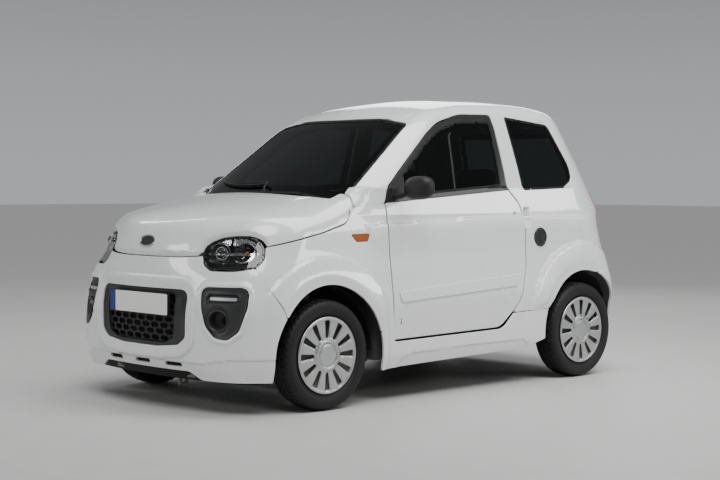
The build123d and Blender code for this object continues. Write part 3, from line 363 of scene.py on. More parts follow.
bonnetPlan = np.concatenate([bonnetRearArc, [(900, -686), (900, -1700), (-900, -1700), (-900, -686)]])
headlampPlace, fogPlace, lampTurn = (505, 756), (493, 472), 28
frontAxle, rearAxle, wheelHeight, archFront, archRear = -910, 1015, 265, 335, 338
handleShape = sideView(roundedLoop([(571, 838), (627, 846), (627, 957), (571, 957)], [3, 20, 14, 3]))
rubPanel = roundedLoop([(-427, 545), (511, 600), (468, 536), (-411, 491)], [10, 10, 10, 10])
sillLip = roundedLoop([(-427, 100), (-427, 194), (-392, 221), (-336, 235), (30, 242), (505, 248), (553, 225),
                       (568, 100)], [0, 20, 30, 60, 0, 20, 30, 0])


def wheelGap(p, axle):
    return np.hypot(p[:, 1] - axle, p[:, 2] - wheelHeight)


def insideArch(axle, radius):
    # less than 0 inside a wheel opening, which runs down to the ground
    def distance(p):
        low = np.abs(p[:, 1] - axle) - radius
        return np.where(p[:, 2] > wheelHeight, wheelGap(p, axle) - radius, low)
    return distance


def within(*shapes):
    return lambda p: np.max([shape(p) for shape in shapes], axis=0)


def without(first, *shapes):
    return lambda p: np.max([first(p)] + [-shape(p) for shape in shapes], axis=0)


def grown(shape, margin):
    return lambda p: shape(p) - margin


def smoothStep(value, start, end):
    t = np.clip((value - start) / (end - start), 0, 1)
    return t * t * (3 - 2 * t)


relief = dict(flare=25, front=(-900, 268, 470), rear=(1042, 283, 480), crease=7, rub=7, frame=13, bead=10,
              tuck=20, chin=9, lip=17, groove=8)
creaseKeys = ((-700, -461, 0, 438, 1165), (876, 884, 898, 905, 896))


def bodyRelief(p):
    # how far the painted skin stands proud of the plain form, by place
    side = smoothStep(np.abs(p[:, 0]), 560, 640)
    y, z = p[:, 1], p[:, 2]
    proud = np.zeros(len(p))
    for place, axle, opening in (("front", frontAxle, archFront), ("rear", rearAxle, archRear)):
        middle, high, reach = relief[place]
        outer = reach - np.hypot(y - middle, z - high)
        rise = np.clip(outer / (outer + np.maximum(wheelGap(p, axle) - opening, 0) + 1e-6), 0,
                       1) * (outer > 0)
        swell = 0.5 * smoothStep(outer, 0, 13) + 0.5 * np.sin(np.minimum(rise * 1.3, 1) * pi / 2)
        swell *= 1 - 0.34 * smoothStep(rise, 0.62, 1)
        if place == "front":
            swell *= smoothStep(y, -1300, -1180) * (1 - smoothStep(y, -560, -470))
        else:
            swell *= smoothStep(z, 380, 470) * (1 - 0.6 * smoothStep(y, 1230, 1400))
        proud += relief["flare"] * swell * side
    line = np.interp(y, *creaseKeys)
    span = smoothStep(y, -640, -560) * (1 - smoothStep(y, 1080, 1200))
    below = 1 - smoothStep(z, line - 5, line + 4)
    proud += relief["crease"] * below * smoothStep(z, line - 190, line - 14) * span * side
    return proud


def doorRelief(p):
    # the door folds in below a straight line
    fold = 462 + (p[:, 1] + 475) * 0.04
    ends = smoothStep(p[:, 1], -478, -452) * (1 - smoothStep(p[:, 1], 470, 600))
    return bodyRelief(p) - relief["tuck"] * np.clip((fold - p[:, 2]) / 160, 0, 1.1) * ends


def sillRelief(p):
    # a shallow panel sunk along the sill
    sunk = (1 - smoothStep(signedDistance(p[:, 1:3], sillLip), -6, 3)) * smoothStep(np.abs(p[:, 0]), 560, 640)
    return bodyRelief(p) + 2 - relief["groove"] * sunk


def bumperRelief(p):
    # raised frames round the grille and the lamp bezels, with the ledge and lip of the chin
    proud = bodyRelief(p)
    across, z = np.abs(p[:, 0]), p[:, 2]
    front = 1 - smoothStep(p[:, 1], -1300, -1200)
    grille = signedDistance(np.stack([p[:, 0], z], 1), grilleFront)
    surround = (1 - smoothStep(grille, 52, 66)) * (0.35 + 0.65 * smoothStep(grille, 0, 46))
    bead = np.exp(-((fogShape(p) - 13) / 10) ** 2)
    proud += (relief["frame"] * surround + relief["bead"] * bead * (1 - surround)) * front
    ledge = 243 + 30 * smoothStep(across, 400, 640)
    proud -= relief["chin"] * smoothStep(-z, -ledge, -ledge + 10) * (0.4 + 0.6 * front)
    return proud


def bonnetRelief(p):
    # the bonnet's edge turns under above the bumper and round the headlamps
    low = np.minimum(p[:, 2] - 758, headlampShape(p) - 24)
    front = 1 - smoothStep(p[:, 1], -1215, -1150)
    return -relief["lip"] * np.clip(-low / 22, 0, 1) * front


headlampShape = turnedView(headlampLoop, headlampPlace, lampTurn)
fogShape = turnedView(fogLoop, fogPlace, lampTurn)
archShift = (14, 22)  # how far behind its axle each wheel opening lies
arches = [insideArch(frontAxle + archShift[0], archFront), insideArch(rearAxle + archShift[1], archRear)]

print("forms ready")


def bundle(start, way, near, far):
    # rays from start(u, v) along way(u, v), with the distances between which they leave the form
    def rays(u, v):
        return (*(np.stack([part + 0 * u for part in parts(u, v)], 1) for parts in (start, way)), near, far)
    return rays


sideRays = bundle(lambda u, v: (0, u, v), lambda u, v: (1, 0, 0), 150, 900)
tailRays = bundle(lambda u, v: (u, 800, v), lambda u, v: (0, 1, 0), 0, 900)
screenRays = bundle(lambda u, v: (u, 500, v), lambda u, v: (0, -1, 0), 0, 1700)
roofRays = bundle(lambda u, v: (u, v, 900), lambda u, v: (0, 0, 1), 0, 900)
bonnetRays = bundle(lambda u, v: (u, -800, 480), lambda u, v: (0, -np.cos(v / 650), np.sin(v / 650)), 50,
                    1300)
noseRays = bundle(lambda u, v: (0, -1000, v), lambda u, v: (np.sin(u / 560), -np.cos(u / 560), 0), 100, 1000)
rearRays = bundle(lambda u, v: (0, 1000, v), lambda u, v: (np.sin(u / 560), np.cos(u / 560), 0), 100, 1000)
cabinRays = bundle(lambda u, v: (0, 300, 900), lambda u, v: (
    np.cos(u / 900) * np.cos(v / 900), np.sin(u / 900) * np.cos(v / 900), np.sin(v / 900)), 100, 1900)


def solve(form, origin, way, near, far):
    # where each ray leaves the form
    low, high = np.full(len(origin), float(near)), np.full(len(origin), float(far))

    def at(distance):
        p = origin + way * distance[:, None]
        return form(p[:, 0], p[:, 1], p[:, 2])

    for _ in range(10):
        middle = (low + high) / 2
        outside = at(middle) > 0
        high, low = np.where(outside, middle, high), np.where(outside, low, middle)
    a, b, fa, fb = low, high, at(low), at(high)
    for _ in range(2):
        middle = np.clip(a - fa * (b - a) / np.where(np.abs(fb - fa) < 1e-9, 1e-9, fb - fa), low, high)
        a, fa, b, fb = b, fb, middle, at(middle)
    return b


def surfacePoints(rays, form, height, u, v):
    origin, way, near, far = rays(u, v)
    p = origin + way * solve(form, origin, way, near, far)[:, None]
    if height is not None:
        p = p + way * height(p)[:, None]
    return p, way


def surfaceWithNormals(rays, form, height, u, v):
    p, way = surfacePoints(rays, form, height, u, v)
    pu, _ = surfacePoints(rays, form, height, u + 1.5, v)
    pv, _ = surfacePoints(rays, form, height, u, v + 1.5)
    normal = np.cross(pu - p, pv - p)
    normal /= np.linalg.norm(normal, axis=1)[:, None] + 1e-12
    facing = np.sign((normal * way).sum(1))
    return p, normal * facing[:, None], np.median(facing)


def snapToEdge(u, v, g, gap, step):
    # grid points near the region's edge move onto it, and their gaps become 0
    close = np.where(np.abs(g) < 0.75 * step)[0]
    startU, startV = u[close].copy(), v[close].copy()
    for turn in range(3):
        here = gap(u[close], v[close])
        gu, gv = gap(u[close] + 1, v[close]) - here, gap(u[close], v[close] + 1) - here
        size = gu ** 2 + gv ** 2 + 1e-9
        du, dv = -here * gu / size, -here * gv / size
        if turn == 0:
            fits = np.hypot(du, dv) < 0.46 * step
            close, du, dv, startU, startV = (a[fits] for a in (close, du, dv, startU, startV))
        u[close] = startU + np.clip(u[close] + du - startU, -0.48 * step, 0.48 * step)
        v[close] = startV + np.clip(v[close] + dv - startV, -0.48 * step, 0.48 * step)
    g[close] = 0


def gridTriangles(rows, columns):
    # two triangles for each cell, with the diagonals taking turns
    index = np.arange(rows * columns).reshape(rows, columns)
    a, b, c, d = (part.ravel() for part in (index[:-1, :-1], index[1:, :-1], index[1:, 1:], index[:-1, 1:]))
    flip = (np.add.outer(np.arange(rows - 1), np.arange(columns - 1)) % 2 == 0).reshape(-1, 1)
    first = np.where(flip, np.stack([a, b, c], 1), np.stack([a, b, d], 1))
    second = np.where(flip, np.stack([a, c, d], 1), np.stack([b, c, d], 1))
    return np.concatenate([first, second])


def cutTriangles(cut, g, count):
    # what is left of the triangles that the region's edge crosses, and the pairs of points it passes between
    crossings, kept = {}, []
    for triangle in cut.tolist():
        ring = []
        for p, q in zip(triangle, triangle[1:] + triangle[:1]):
            if g[p] <= 0:
                ring.append(p)
            if g[p] * g[q] < 0:
                ring.append(crossings.setdefault((min(p, q), max(p, q)), count + len(crossings)))
        kept += [(ring[0], ring[k], ring[k + 1]) for k in range(1, len(ring) - 1)]
    return np.array(kept, int).reshape(-1, 3), np.array(list(crossings), int).reshape(-1, 2)


def crossingPoints(u, v, g, pairs, gap):
    # the place of the region's edge between the two points of each pair, found by halving
    inner = g[pairs[:, 0]] < 0
    ins, outs = np.where(inner, pairs[:, 0], pairs[:, 1]), np.where(inner, pairs[:, 1], pairs[:, 0])
    low, high = np.zeros(len(pairs)), np.ones(len(pairs))
    for _ in range(9):
        t = (low + high) / 2
        beyond = gap(u[ins] + (u[outs] - u[ins]) * t, v[ins] + (v[outs] - v[ins]) * t) > 0
        high, low = np.where(beyond, t, high), np.where(beyond, low, t)
    return u[ins] + (u[outs] - u[ins]) * low, v[ins] + (v[outs] - v[ins]) * low


def trimmedGrid(rays, form, region, uRange, vRange, step):
    # triangles of the part of a skin where region is below 0, with clean edges
    us, vs = (np.arange(low, high + step, step) for low, high in (uRange, vRange))
    u, v = (a.ravel() for a in np.meshgrid(us, vs, indexing="ij"))

    def gap(uu, vv):
        return region(surfacePoints(rays, form, None, uu, vv)[0])

    g = gap(u, v)
    snapToEdge(u, v, g, gap, step)
    triangles = gridTriangles(len(us), len(vs))
    low, high = g[triangles].min(1), g[triangles].max(1)
    flat = triangles[(high == 0) & (low == 0)]
    if len(flat):
        flat = flat[gap(u[flat].mean(1), v[flat].mean(1)) < 0]
    kept, pairs = cutTriangles(triangles[(high > 0) & (low < 0)], g, len(u))
    if len(pairs):
        newU, newV = crossingPoints(u, v, g, pairs, gap)
        u, v = np.concatenate([u, newU]), np.concatenate([v, newV])
    faces = np.concatenate([triangles[(high <= 0) & (low < 0)], flat, kept])
    used, faces = np.unique(faces, return_inverse=True)
    return u[used], v[used], faces.reshape(-1, 3)


def boundaryLoops(faces):
    # each vertex on an open edge with the ones before and after it
    edges = np.concatenate([faces[:, [0, 1]], faces[:, [1, 2]], faces[:, [2, 0]]]).tolist()
    have = set(map(tuple, edges))
    following = {p: q for p, q in edges if (q, p) not in have}
    before = {q: p for p, q in following.items()}
    return [(p, before[p], q) for p, q in following.items() if p in before]


def edgeRings(thickness, edge, backEdge):
    # angle, reach and depth of each ring round a rolled edge
    bends = [radians(a) for a in (35, 65, 90)]
    rings = [(a, edge * sin(a), edge * (1 - cos(a))) for a in bends]
    rings.append((bends[2], edge, thickness - backEdge))
    if backEdge:
        rings += [(bends[2] + a, edge - backEdge * (1 - cos(a)), thickness - backEdge * (1 - sin(a)))
                  for a in bends[:2]]
    return rings


def makeMesh(name, points, faces, normals, material):
    mesh = bpy.data.meshes.new(name)
    mesh.from_pydata((np.asarray(points) * mm).tolist(), [], [tuple(map(int, f)) for f in faces])
    mesh.update()
    mesh.polygons.foreach_set("use_smooth", [True] * len(mesh.polygons))
    if normals is not None:
        mesh.normals_split_custom_set_from_vertices(np.asarray(normals).tolist())
    piece = bpy.data.objects.new(name, mesh)
    bpy.context.scene.collection.objects.link(piece)
    mesh.materials.append(material)
    return piece


def panelArrays(rays, form, region, uRange, vRange, step=12, height=None, offset=0, thickness=12, edge=2.4,
                backEdge=0):
    # a skin with thickness and rolled edges, as points, normals and faces
    u, v, faces = trimmedGrid(rays, form, grown(region, -edge), uRange, vRange, step)
    p, n, facing = surfaceWithNormals(rays, form, height, u, v)
    if facing < 0:
        faces = faces[:, ::-1]
    p = p + n * offset
    at, prior, after = (np.array(column) for column in zip(*boundaryLoops(faces)))
    tangent = p[after] - p[prior]
    tangent /= np.linalg.norm(tangent, axis=1)[:, None] + 1e-12
    out = np.cross(tangent, n[at])
    out /= np.linalg.norm(out, axis=1)[:, None] + 1e-12
    order = {k: i for i, k in enumerate(at.tolist())}
    follow = np.array([order.get(k, -1) for k in after.tolist()])
    closed = follow >= 0

    def strip(upper, lower):
        a, b, c, d = upper[closed], upper[follow[closed]], lower[follow[closed]], lower[closed]
        return [np.stack([a, d, c], 1), np.stack([a, c, b], 1)]

    points, normals, allFaces, previous, total = [p], [n], [faces], at, len(p)
    for angle, reach, depth in edgeRings(thickness, edge, backEdge):
        ring = total + np.arange(len(at))
        points.append(p[at] + out * reach - n[at] * depth)
        normals.append(out * sin(angle) + n[at] * cos(angle))
        allFaces += strip(previous, ring)
        previous, total = ring, total + len(at)
    back = p - n * thickness
    back[at] += out * (edge - backEdge)
    allFaces += [faces[:, ::-1] + total] + strip(previous, at + total)
    return np.concatenate(points + [back]), np.concatenate(normals + [-n]), np.concatenate(allFaces)


def mirrored(arrays):
    p, n, f = arrays
    turn = np.array([-1, 1, 1])
    return p * turn, None if n is None else n * turn, f[:, ::-1]


def joined(*parts, plain=False):
    # several arrays as one, whose normals stay only where every part has them
    starts = np.cumsum([0] + [len(p) for p, _, _ in parts])
    points = np.concatenate([p for p, _, _ in parts])
    faces = np.concatenate([f + start for (_, _, f), start in zip(parts, starts)])
    if plain or any(n is None for _, n, _ in parts):
        return points, None, faces
    return points, np.concatenate([n for _, n, _ in parts]), faces


def quadFaces(rows, columns, closed):
    # triangles between rings of points, and from the last ring to the first where closed
    rings = np.arange(rows if closed else rows - 1)
    i, j = (a.ravel() for a in np.meshgrid(rings, np.arange(columns), indexing="ij"))
    down, along = (i + 1) % rows, (j + 1) % columns
    quads = np.stack([i * columns + j, i * columns + along, down * columns + along, down * columns + j], 1)
    return np.concatenate([quads[:, [0, 1, 2]], quads[:, [0, 2, 3]]])


def endFans(rows, columns):
    # flat ends for the first and the last ring
    rings = [end * columns + np.arange(columns) for end in (0, rows - 1)]
    return np.concatenate([np.stack([np.full(columns - 2, ring[0]), ring[1:-1], ring[2:]], 1)
                           for ring in rings])


def latheArrays(section, segments=64):
    # a closed section of (radius, height) turned about Z
    section = np.array(section, float)
    turn = np.linspace(0, 2 * pi, segments, endpoint=False)
    p = np.stack([section[:, :1] * np.cos(turn), section[:, :1] * np.sin(turn),
                  np.repeat(section[:, 1:], segments, 1)], 2).reshape(-1, 3)
    return p, None, quadFaces(len(section), segments, True)


def tubeArrays(points, radii, sides=12, flat=1.0, up=(0, 0, 1)):
    # a closed tube along a line, its section an ellipse
    points = np.array(points, float)
    radii = np.broadcast_to(np.array(radii, float), len(points))
    way = np.gradient(points, axis=0)
    way /= np.linalg.norm(way, axis=1)[:, None]
    across = np.cross(way, np.array(up, float))
    across /= np.linalg.norm(across, axis=1)[:, None]
    high = np.cross(across, way)
    turn = np.linspace(0, 2 * pi, sides, endpoint=False)[None, :, None]
    spread = np.cos(turn) * across[:, None] + flat * np.sin(turn) * high[:, None]
    rings = points[:, None] + radii[:, None, None] * spread
    count, last = len(points), (len(points) - 1) * sides
    caps = [face for j in range(sides) for k in [(j + 1) % sides]
            for face in ((count * sides, k, j), (count * sides + 1, last + j, last + k))]
    return (np.concatenate([rings.reshape(-1, 3), points[:1], points[-1:]]), None,
            np.concatenate([quadFaces(count, sides, False), np.array(caps)]))


def facePlate(height, region, reach, step=5, thickness=4, edge=1.5, backEdge=0):
    # a plate over its own XY plane with its face at height(x, y)
    return panelArrays(plateRays, lambda x, y, z: z - height(x, y), region, (-reach[0], reach[0]),
                       (-reach[1], reach[1]), step, None, 0, thickness, edge, backEdge)


def placed(arrays, axes, origin):
    # arrays turned and moved from their own frame into the car's
    p, n, f = arrays
    turn = np.array(axes, float)
    return p @ turn + np.array(origin, float), None if n is None else n @ turn, f


def flat(level):
    return lambda x, y: level + 0 * x


def level(amount):
    return lambda p: amount + 0 * p[:, 0]


def cornerGap(a, b, r):
    # distance to a box with corners rounded to r, from how far points lie past its two sides
    a, b = a + r, b + r
    return np.hypot(np.maximum(a, 0), np.maximum(b, 0)) + np.minimum(np.maximum(a, b), 0) - r


def roundedBox(halfX, halfY, r, centre=(0, 0)):
    return lambda p: cornerGap(np.abs(p[:, 0] - centre[0]) - halfX, np.abs(p[:, 1] - centre[1]) - halfY, r)


def curvePoints(points, count):
    # a smooth line through a few points
    points = np.array(points, float)
    keys = np.concatenate([[0], np.cumsum(np.linalg.norm(np.diff(points, axis=0), axis=1))])
    return smoothRows(keys, points, np.linspace(0, keys[-1], count))


plateRays = bundle(lambda u, v: (u, v, -300), lambda u, v: (0, 0, 1), 0, 600)
noseSkin = partial(panelArrays, noseRays, lowerForm)
sideSkin = partial(panelArrays, sideRays, bodyForm)
tailSkin = partial(panelArrays, tailRays, bodyForm)
rearSkin = partial(panelArrays, rearRays, bodyForm)


def addNode(tree, kind, **given):
    # a node whose inputs are linked where a socket is given and set where a value is
    node = tree.nodes.new("ShaderNode" + kind)
    for label, value in given.items():
        socket = node.inputs[label.replace("_", " ")]
        if isinstance(value, bpy.types.NodeSocket):
            tree.links.new(value, socket)
        else:
            socket.default_value = value
    return node


def mathNode(tree, operation, a, b=0.5, clamp=False):
    node = tree.nodes.new("ShaderNodeMath")
    node.operation, node.use_clamp = operation, clamp
    for socket, value in zip(node.inputs, (a, b)):
        if isinstance(value, bpy.types.NodeSocket):
            tree.links.new(value, socket)
        else:
            socket.default_value = value
    return node.outputs[0]


def newGroup(build, given, wanted):
    # a shader node group named after the function that fills it
    tree = bpy.data.node_groups.new(build.__name__, "ShaderNodeTree")
    for label, value in given.items():
        socket = tree.interface.new_socket(name=label, in_out="INPUT", socket_type="NodeSocketFloat")
        socket.default_value = value
    for label in wanted:
        tree.interface.new_socket(name=label, in_out="OUTPUT", socket_type="NodeSocketFloat")
    start, end = tree.nodes.new("NodeGroupInput"), tree.nodes.new("NodeGroupOutput")
    place = addNode(tree, "TexCoord").outputs["Object"]
    for label, value in zip(wanted, build(tree, start.outputs, place)):
        tree.links.new(value, end.inputs[label])
    return tree


def fineGrain(tree, given, place):
    # small bumps and slow changes of tone, in object space
    fine = addNode(tree, "TexNoise", Vector=place, Scale=given["Scale"], Detail=4)
    slow = addNode(tree, "TexNoise", Vector=place, Scale=7, Detail=3)
    spread = mathNode(tree, "MULTIPLY", mathNode(tree, "SUBTRACT", fine.outputs["Fac"], 0.5),
                      given["Contrast"])
    return mathNode(tree, "ADD", spread, 0.5), slow.outputs["Fac"]


def roadDust(tree, given, place):
    # dust that thins out with height, broken up by noise
    height = addNode(tree, "SeparateXYZ", Vector=place).outputs["Z"]
    ramp = addNode(tree, "MapRange", Value=height, From_Min=given["Low"], From_Max=given["High"], To_Min=1,
                   To_Max=0)
    ramp.interpolation_type = "SMOOTHSTEP"
    noise = addNode(tree, "TexNoise", Vector=place, Scale=9, Detail=6)
    patchy = mathNode(tree, "MULTIPLY", ramp.outputs["Result"], noise.outputs["Fac"])
    return [mathNode(tree, "MULTIPLY", patchy, given["Amount"], True)]


def edgeWear(tree, given, place):
    # a mask along raised edges, broken up by noise
    sharpness = addNode(tree, "NewGeometry").outputs["Pointiness"]
    ramp = addNode(tree, "MapRange", Value=sharpness, From_Min=0.52, From_Max=0.62)
    noise = addNode(tree, "TexNoise", Vector=place, Scale=60)
    worn = mathNode(tree, "MULTIPLY", ramp.outputs["Result"], noise.outputs["Fac"])
    return [mathNode(tree, "MULTIPLY", worn, given["Amount"], True)]


def clothWeave(tree, given, place):
    # crossed threads of a woven cloth, with a mask of painted shade that leaves the gaps between threads
    # darker and the crests lighter
    split = addNode(tree, "SeparateXYZ", Vector=place).outputs
    along = mathNode(tree, "ADD", split["Y"], split["Z"])
    waves = []
    for way in (split["X"], along):
        turned = mathNode(tree, "MULTIPLY", way, given["Threads"])
        waves.append(mathNode(tree, "ABSOLUTE", mathNode(tree, "SINE", turned), 0))
    height = mathNode(tree, "MULTIPLY", *waves)
    noise = addNode(tree, "TexNoise", Vector=place, Scale=14)
    return height, mathNode(tree, "MULTIPLY", noise.outputs["Fac"], height)


grainGroup = newGroup(fineGrain, dict(Scale=400.0, Contrast=0.5), ("Height", "Mottle"))
dustGroup = newGroup(roadDust, dict(Low=0.1, High=0.6, Amount=0.5), ("Mask",))
wearGroup = newGroup(edgeWear, dict(Amount=0.5), ("Mask",))
weaveGroup = newGroup(clothWeave, dict(Threads=500.0), ("Height", "ThreadShade"))


def placeGroup(tree, group, **values):
    node = tree.nodes.new("ShaderNodeGroup")
    node.node_tree = group
    for label, value in values.items():
        node.inputs[label].default_value = value
    return node


def mixColours(tree, mask, first, second):
    node = tree.nodes.new("ShaderNodeMix")
    node.data_type = "RGBA"
    tree.links.new(mask, node.inputs["Factor"])
    for socket, value in ((node.inputs["A"], first), (node.inputs["B"], second)):
        if isinstance(value, tuple):
            socket.default_value = (*value, 1)
        else:
            tree.links.new(value, socket)
    return node.outputs["Result"]


def mapMask(tree, mask, low, high):
    return addNode(tree, "MapRange", Value=mask, To_Min=low, To_Max=high).outputs["Result"]


def makeMaterial(name, colour, second=None, roughness=(0.4, 0.5), metallic=0.0, grain=400.0, bump=0.1,
                 bumpSize=0.0004, dust=None, dustColour=(0.42, 0.39, 0.34), wear=None,
                 wearColour=(0.6, 0.6, 0.6), weave=None, **plain):
    # a Principled finish with mottled colour, grain, dust and wear; plain goes to the shader's own inputs
    material = bpy.data.materials.new(name)
    material.use_nodes = True
    tree = material.node_tree
    shader = tree.nodes["Principled BSDF"]
    grainNode = placeGroup(tree, grainGroup, Scale=grain, Contrast=1.0)
    tone = mixColours(tree, mapMask(tree, grainNode.outputs["Mottle"], -0.4, 1.4), colour, second or colour)
    rough = mapMask(tree, grainNode.outputs["Mottle"], *roughness)
    height = grainNode.outputs["Height"]
    if weave:
        weaveNode = placeGroup(tree, weaveGroup, Threads=weave)
        height = weaveNode.outputs["Height"]
        # painted shade on the cloth: the thread crests take the lighter colour and the gaps between them the
        # darker one
        tone = mixColours(tree, weaveNode.outputs["ThreadShade"], tone, second or colour)
    if wear:
        wearNode = placeGroup(tree, wearGroup, Amount=wear)
        tone = mixColours(tree, wearNode.outputs["Mask"], tone, wearColour)
    if dust:
        dustNode = placeGroup(tree, dustGroup, Low=dust[0], High=dust[1], Amount=dust[2])
        tone = mixColours(tree, dustNode.outputs["Mask"], tone, dustColour)
        rough = mathNode(tree, "ADD", rough, mathNode(tree, "MULTIPLY", dustNode.outputs["Mask"], 0.45), True)
    tree.links.new(tone, shader.inputs["Base Color"])
    tree.links.new(rough, shader.inputs["Roughness"])
    shader.inputs["Metallic"].default_value = metallic
    if bump:
        bumpNode = addNode(tree, "Bump", Strength=bump, Distance=bumpSize, Height=height)
        tree.links.new(bumpNode.outputs["Normal"], shader.inputs["Normal"])
    for label, value in plain.items():
        shader.inputs[label.replace("_", " ")].default_value = value
    return material


finish = dict(
    paint=makeMaterial("whitePaint", (0.80, 0.81, 0.81), (0.77, 0.785, 0.79), (0.24, 0.3), grain=900,
                       bump=0.03, dust=(0.1, 0.45, 0.22), Coat_Weight=1.0, Coat_Roughness=0.03,
                       Coat_IOR=1.55),
    blackGloss=makeMaterial("blackGloss", (0.012, 0.012, 0.013), (0.02, 0.02, 0.021), (0.12, 0.2), bump=0.02,
                            Coat_Weight=0.6, Coat_Roughness=0.06),
    blackPlastic=makeMaterial("mouldedPlastic", (0.012, 0.012, 0.0125), (0.02, 0.02, 0.021), (0.4, 0.55),
                              grain=1800, bump=0.35, dust=(0.05, 0.4, 0.12), wear=0.2,
                              wearColour=(0.05, 0.05, 0.05), Specular_IOR_Level=0.3),
    greyPlastic=makeMaterial("greyPlastic", (0.018, 0.0185, 0.0195), (0.026, 0.0265, 0.0275), (0.34, 0.46),
                             grain=1500, bump=0.25, dust=(0.1, 0.6, 0.08), Specular_IOR_Level=0.4),
    slotGrey=makeMaterial("slotGrey", (0.36, 0.37, 0.38), (0.42, 0.43, 0.44), (0.3, 0.4), metallic=0.3,
                          bump=0.05),
    rubber=makeMaterial("sealRubber", (0.007, 0.007, 0.007), (0.012, 0.012, 0.012), (0.45, 0.6), grain=1200,
                        bump=0.2, Specular_IOR_Level=0.2),
    satinBlack=makeMaterial("satinBlack", (0.016, 0.016, 0.017), (0.022, 0.022, 0.023), (0.28, 0.36),
                            grain=1400, bump=0.1, Specular_IOR_Level=0.4),
    tyre=makeMaterial("tyreRubber", (0.008, 0.008, 0.008), (0.013, 0.013, 0.013), (0.5, 0.66), grain=900,
                      bump=0.4, dust=(-0.1, 0.4, 0.1), dustColour=(0.05, 0.048, 0.045), wear=0.15,
                      wearColour=(0.035, 0.034, 0.033), Specular_IOR_Level=0.3),
    silver=makeMaterial("wheelSilver", (0.40, 0.405, 0.41), (0.46, 0.465, 0.47), (0.26, 0.36), metallic=0.8,
                        grain=1500, bump=0.08, dust=(0.05, 0.5, 0.1), wear=0.3, wearColour=(0.8, 0.8, 0.8),
                        Coat_Weight=0.4, Coat_Roughness=0.12),
    steel=makeMaterial("darkSteel", (0.09, 0.09, 0.092), (0.14, 0.13, 0.12), (0.45, 0.7), metallic=0.7,
                       grain=300, bump=0.3, dust=(0.0, 0.6, 0.8), wear=0.5, wearColour=(0.2, 0.19, 0.18)),
    frameBlack=makeMaterial("chassisBlack", (0.03, 0.03, 0.031), (0.05, 0.048, 0.045), (0.5, 0.7),
                            metallic=0.1, grain=260, bump=0.3, dust=(0.0, 0.5, 0.9), wear=0.4,
                            wearColour=(0.16, 0.13, 0.11)),
    engine=makeMaterial("castAlloy", (0.3, 0.3, 0.3), (0.22, 0.22, 0.22), (0.45, 0.6), metallic=0.8,
                        grain=220, bump=0.5, dust=(0.1, 0.7, 0.5)),
    exhaust=makeMaterial("exhaustSteel", (0.34, 0.32, 0.3), (0.2, 0.16, 0.13), (0.35, 0.6), metallic=0.9,
                         grain=120, bump=0.2, dust=(0.0, 0.4, 0.6)),
    lining=makeMaterial("headLining", (0.22, 0.22, 0.22), (0.27, 0.27, 0.265), (0.9, 1.0), weave=1900.0,
                        bump=0.5, bumpSize=0.0006, Sheen_Weight=0.2),
    glass=makeMaterial("tintedGlass", (0.13, 0.148, 0.145), (0.15, 0.168, 0.165), (0.0, 0.012), bump=0,
                       Transmission_Weight=1.0, IOR=1.5),
    lens=makeMaterial("clearLens", (0.97, 0.98, 0.98), (0.99, 0.99, 0.99), (0.01, 0.03), bump=0,
                      Transmission_Weight=1.0, IOR=1.42),
    mirror=makeMaterial("reflector", (0.82, 0.83, 0.84), (0.72, 0.73, 0.74), (0.06, 0.12), metallic=1.0,
                        bump=0),
    smoke=makeMaterial("smokedReflector", (0.10, 0.10, 0.105), (0.16, 0.16, 0.165), (0.08, 0.16),
                       metallic=1.0, bump=0),
    amber=makeMaterial("amberLens", (0.52, 0.15, 0.012), (0.42, 0.10, 0.008), (0.08, 0.14), grain=700,
                       bump=0.3, Transmission_Weight=0.35, IOR=1.45),
    red=makeMaterial("redLens", (0.55, 0.015, 0.02), (0.42, 0.01, 0.015), (0.06, 0.12), grain=500, bump=0.2,
                     Transmission_Weight=0.3, IOR=1.45),
    plate=makeMaterial("plateWhite", (0.82, 0.82, 0.80), (0.78, 0.78, 0.77), (0.3, 0.4), bump=0.05,
                       dust=(0.3, 0.6, 0.25)),
    plateBlue=makeMaterial("plateBlue", (0.012, 0.035, 0.2), (0.012, 0.03, 0.17), (0.3, 0.4), bump=0.05),
    badge=makeMaterial("badgeDark", (0.05, 0.055, 0.06), (0.1, 0.1, 0.11), (0.15, 0.25), metallic=0.6,
                       bump=0.05, Coat_Weight=1.0, Coat_Roughness=0.05),
    cloth=makeMaterial("seatCloth", (0.045, 0.047, 0.05), (0.10, 0.10, 0.105), (0.85, 0.95), weave=1600.0,
                       bump=0.7, bumpSize=0.0008, Sheen_Weight=0.35, Sheen_Roughness=0.5),
    sideCloth=makeMaterial("bolsterCloth", (0.02, 0.02, 0.021), (0.04, 0.04, 0.042), (0.8, 0.92),
                           weave=2100.0, bump=0.6, bumpSize=0.0006, Sheen_Weight=0.3),
    dash=makeMaterial("dashPlastic", (0.03, 0.03, 0.032), (0.045, 0.045, 0.047), (0.5, 0.62), grain=1300,
                      bump=0.5),
    carpet=makeMaterial("floorCarpet", (0.03, 0.03, 0.031), (0.055, 0.053, 0.05), (0.9, 1.0), grain=2600,
                        bump=1.0, bumpSize=0.0015, Sheen_Weight=0.2),
)
print("materials ready")

def detailPiece(name, arrays, material, body="car_body", nodes=(), sharp=40):
    # a piece from arrays, shaded from its own faces where they carry no normals
    points, normals, faces = arrays
    piece = makeMesh(name, points, faces, normals, finish[material])
    if normals is None:
        shape = bmesh.new()
        shape.from_mesh(piece.data)
        bmesh.ops.remove_doubles(shape, verts=shape.verts, dist=0.00002)
        bmesh.ops.recalc_face_normals(shape, faces=shape.faces)
        shape.to_mesh(piece.data)
        shape.free()
        piece.data.polygons.foreach_set("use_smooth", [True] * len(piece.data.polygons))
        piece.data.set_sharp_from_angle(angle=radians(sharp))
    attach(piece, body)
    if nodes:
        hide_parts(*nodes)
    return piece


def bothSides(name, arrays, material, body="car_body", nodes=()):
    # one piece from a left detail and its mirror image
    return detailPiece(name, joined(arrays, mirrored(arrays)), material, body, nodes)


